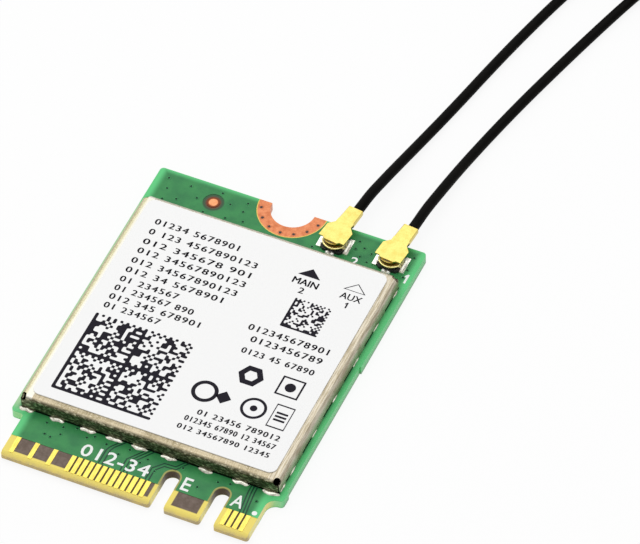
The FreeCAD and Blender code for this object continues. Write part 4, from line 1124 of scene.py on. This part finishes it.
# Places along each row of feet, with the half length, reach and rise of the solder there
FRONT_FEET = [-9.98, -7.41, -4.91, -2.75, -0.79, 1.61, 4.58, 7.40, 9.77]
BACK_FEET = [-9.8, -7.35, -4.9, -2.45, 0.0, 2.45, 4.9, 7.35, 9.8]
SIDE_FEET = [7.4, 3.7, 0.0, -3.7, -7.4]
END_FEET = [10.35, -9.75]
FRONT_BLOB = (0.66, 0.3, 0.19)
SIDE_BLOB = (0.5, 0.09, 0.11)
SIDE_SHIFT = -0.55
END_BLOB = (0.42, 0.1, 0.13)
BLOB_STEPS = 18
BLOB_ARC = 7
BLOB_SINK = 0.02
BLOB_WOBBLE = 0.16
# Waves along a fillet, how full its ends are, and how far its place and length may stray
BLOB_WAVES = (2.0, 6.0)
BLOB_FULLNESS = 0.4
PLACE_STRAY = 0.06
LENGTH_STRAY = 0.12


def fillet(piece, middle, half, out, up, lay, draw):
    """A drawn-out drop of solder in the corner of wall and board; lay turns its own axes to the card's."""
    rings = []
    waves = [draw.uniform(*BLOB_WAVES) for _ in range(2)]
    phases = [draw.uniform(0.0, 2 * math.pi) for _ in range(2)]
    for step in range(BLOB_STEPS + 1):
        u = 2 * step / BLOB_STEPS - 1
        swell = max(1 - u * u, 0.0) ** BLOB_FULLNESS
        reach = out * swell * (1 + BLOB_WOBBLE * math.sin(waves[0] * u + phases[0]))
        climb = up * swell * (1 + BLOB_WOBBLE * math.sin(waves[1] * u + phases[1]))
        along = middle + u * half
        ring = [lay(along, -BLOB_SINK, BOARD_TOP - BLOB_SINK)]
        for arc in range(BLOB_ARC + 1):
            turn = math.pi / 2 * arc / BLOB_ARC
            across = reach * math.cos(turn) - BLOB_SINK
            ring.append(lay(along, across, BOARD_TOP - BLOB_SINK + climb * math.sin(turn)))
        rings.append(ring)
    loft(piece, rings)


def wall_axes(across, wall, outward):
    """Turns places along a wall, out from it and up to the card's axes; a wall across runs along X."""
    def lay(along, out, z):
        place = wall + outward * out
        return (along, place, z) if across else (place, along, z)

    return lay


def shield_solder():
    piece = Piece()
    draw = random.Random(SEED + 1)
    rows = [
        (FRONT_FEET, FRONT_BLOB, wall_axes(True, SHIELD_LOW.y, -1)),
        (BACK_FEET, FRONT_BLOB, wall_axes(True, SHIELD_HIGH.y, 1)),
    ]
    for lay in (wall_axes(False, SHIELD_HIGH.x, 1), wall_axes(False, SHIELD_LOW.x, -1)):
        rows += [([foot + SIDE_SHIFT for foot in SIDE_FEET], SIDE_BLOB, lay), (END_FEET, END_BLOB, lay)]
    for places, (half, out, up), lay in rows:
        for place in places:
            middle = place + draw.uniform(-PLACE_STRAY, PLACE_STRAY)
            length = half * draw.uniform(1 - LENGTH_STRAY, 1 + LENGTH_STRAY)
            fillet(piece, middle, length, out, up, lay, draw)
    made = piece.make("shield_solder", ["solder"], smooth=True)
    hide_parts("shield_solder_joints")


# Two small drops of solder before each port: offset from its middle, and radius
PORT_DROPS = [(-0.2, -1.08, 0.18), (0.2, -1.08, 0.16)]
DROP_RISE = 1.5
DROP_CORNERS = 12
DROP_LEVELS = 4


def port_solder():
    piece = Piece()
    for lead in LEADS.values():
        for x, y, radius in PORT_DROPS:
            rings = []
            for level in range(DROP_LEVELS):
                turn = math.pi / 2 * level / DROP_LEVELS
                ring = circle(lead["port"][0] + x, lead["port"][1] + y, radius * math.cos(turn), DROP_CORNERS)
                height = BOARD_TOP - SINK + radius * DROP_RISE * math.sin(turn)
                rings.append([(px, py, height) for px, py in ring])
            loft(piece, rings)
    piece.make("port_solder", ["drop"], smooth=True)


# Rolled lip round the front of each seated plug's skirt
LIP_BULGE = 0.09
LIP_SINK = 0.03
LIP_HALF_TURN = 68.0
LIP_STEPS = 28
LIP_ARC = 8


def plug_lip(name):
    piece = Piece()
    lead = LEADS[name]
    x, y = lead["port"]
    middle, half = (SKIRT_FOOT + LIP_TOP) / 2, (LIP_TOP - SKIRT_FOOT) / 2
    rings = []
    for step in range(LIP_STEPS + 1):
        share = 2 * step / LIP_STEPS - 1
        angle = math.radians(lead["turn"] - 90.0 + LIP_HALF_TURN * share)
        profile = [(-LIP_SINK, -half)]
        for arc in range(LIP_ARC + 1):
            turn = math.pi * (arc / LIP_ARC - 0.5)
            profile.append((LIP_BULGE * math.cos(turn), half * math.sin(turn)))
        profile.append((-LIP_SINK, half))
        ahead = Vector((math.cos(angle), math.sin(angle), 0.0))
        rings.append([Vector((x, y, middle + up)) + ahead * (SKIRT_RADIUS + out) for out, up in profile])
    loft(piece, rings)
    return piece.make(f"{name}_plug_lip", ["lip"], True, f"{name}_antenna_lead")


# Floor, world and lamps

FLOOR_HALF = 0.9
FLOOR_DROP = 0.00003
FLOOR_WHITE = rgb(250, 250, 250)
BACKDROP_SHARE = 0.88


def seen_ray(tree):
    """1 for what the camera, a gloss or a clear piece sees, 0 for plain light."""
    path = add_node(tree, "ShaderNodeLightPath", {})
    total = path.outputs["Is Camera Ray"]
    for name in ("Is Glossy Ray", "Is Transmission Ray"):
        sources = {0: total, 1: path.outputs[name]}
        total = add_node(tree, "ShaderNodeMath", sources, operation="MAXIMUM").outputs[0]
    return total


def make_floor():
    material = bpy.data.materials.new("floor")
    material.use_nodes = True
    tree = material.node_tree
    tree.nodes.clear()
    matte = add_node(tree, "ShaderNodeBsdfDiffuse", {"Color": FLOOR_WHITE}).outputs[0]
    glow = add_node(tree, "ShaderNodeEmission", {}).outputs[0]
    share = add_node(tree, "ShaderNodeMath", {0: seen_ray(tree), 1: BACKDROP_SHARE}, operation="MULTIPLY")
    mixed = add_node(tree, "ShaderNodeMixShader", {0: share.outputs[0], 1: matte, 2: glow})
    add_node(tree, "ShaderNodeOutputMaterial", {"Surface": mixed.outputs[0]})
    h = FLOOR_HALF
    data = bpy.data.meshes.new("floor")
    data.from_pydata([(-h, -h, 0), (h, -h, 0), (h, h, 0), (-h, h, 0)], [], [(0, 1, 2, 3)])
    data.materials.append(material)
    floor = add_object("floor", data)
    floor.location.z = -FLOOR_DROP
    floor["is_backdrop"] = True


WORLD_LIGHT = 0.53
WORLD_SEEN = 0.95


def make_world():
    world = bpy.data.worlds.new("studio")
    world.use_nodes = True
    tree = world.node_tree
    background = tree.nodes["Background"]
    background.inputs["Color"].default_value = (1.0, 1.0, 1.0, 1.0)
    sources = {"Value": seen_ray(tree), "To Min": WORLD_LIGHT, "To Max": WORLD_SEEN}
    join(tree, add_node(tree, "ShaderNodeMapRange", sources).outputs[0], background.inputs["Strength"])
    bpy.context.scene.world = world


# Name, place, size and power of each soft lamp, all aimed at the card
LAMPS = [
    ("overhead", (-0.03, 0.08, 0.34), 0.42, 0.7),
    ("left_fill", (-0.34, -0.05, 0.22), 0.26, 0.16),
]


def make_lamps():
    for name, place, size, power in LAMPS:
        data = bpy.data.lights.new(name, "AREA")
        data.size = size
        data.energy = power
        lamp = add_object(name, data)
        lamp.location = place
        lamp.rotation_euler = (-Vector(place)).to_track_quat("-Z", "Y").to_euler()


make_camera()
for port in LEADS:
    make_cord(port, plug_lip(port))
dress_nodes()
label_print()
board_print()
board_vias()
land_vias()
board_traces()
contact_tips()
shield_solder()
port_solder()
make_floor()
make_world()
make_lamps()

bpy.context.scene.view_settings.view_transform = "Standard"

boxes = {"cad": CAD_BOX, "visual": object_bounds()}
{key: [[float(n) for n in corner] for corner in box] for key, box in boxes.items()}
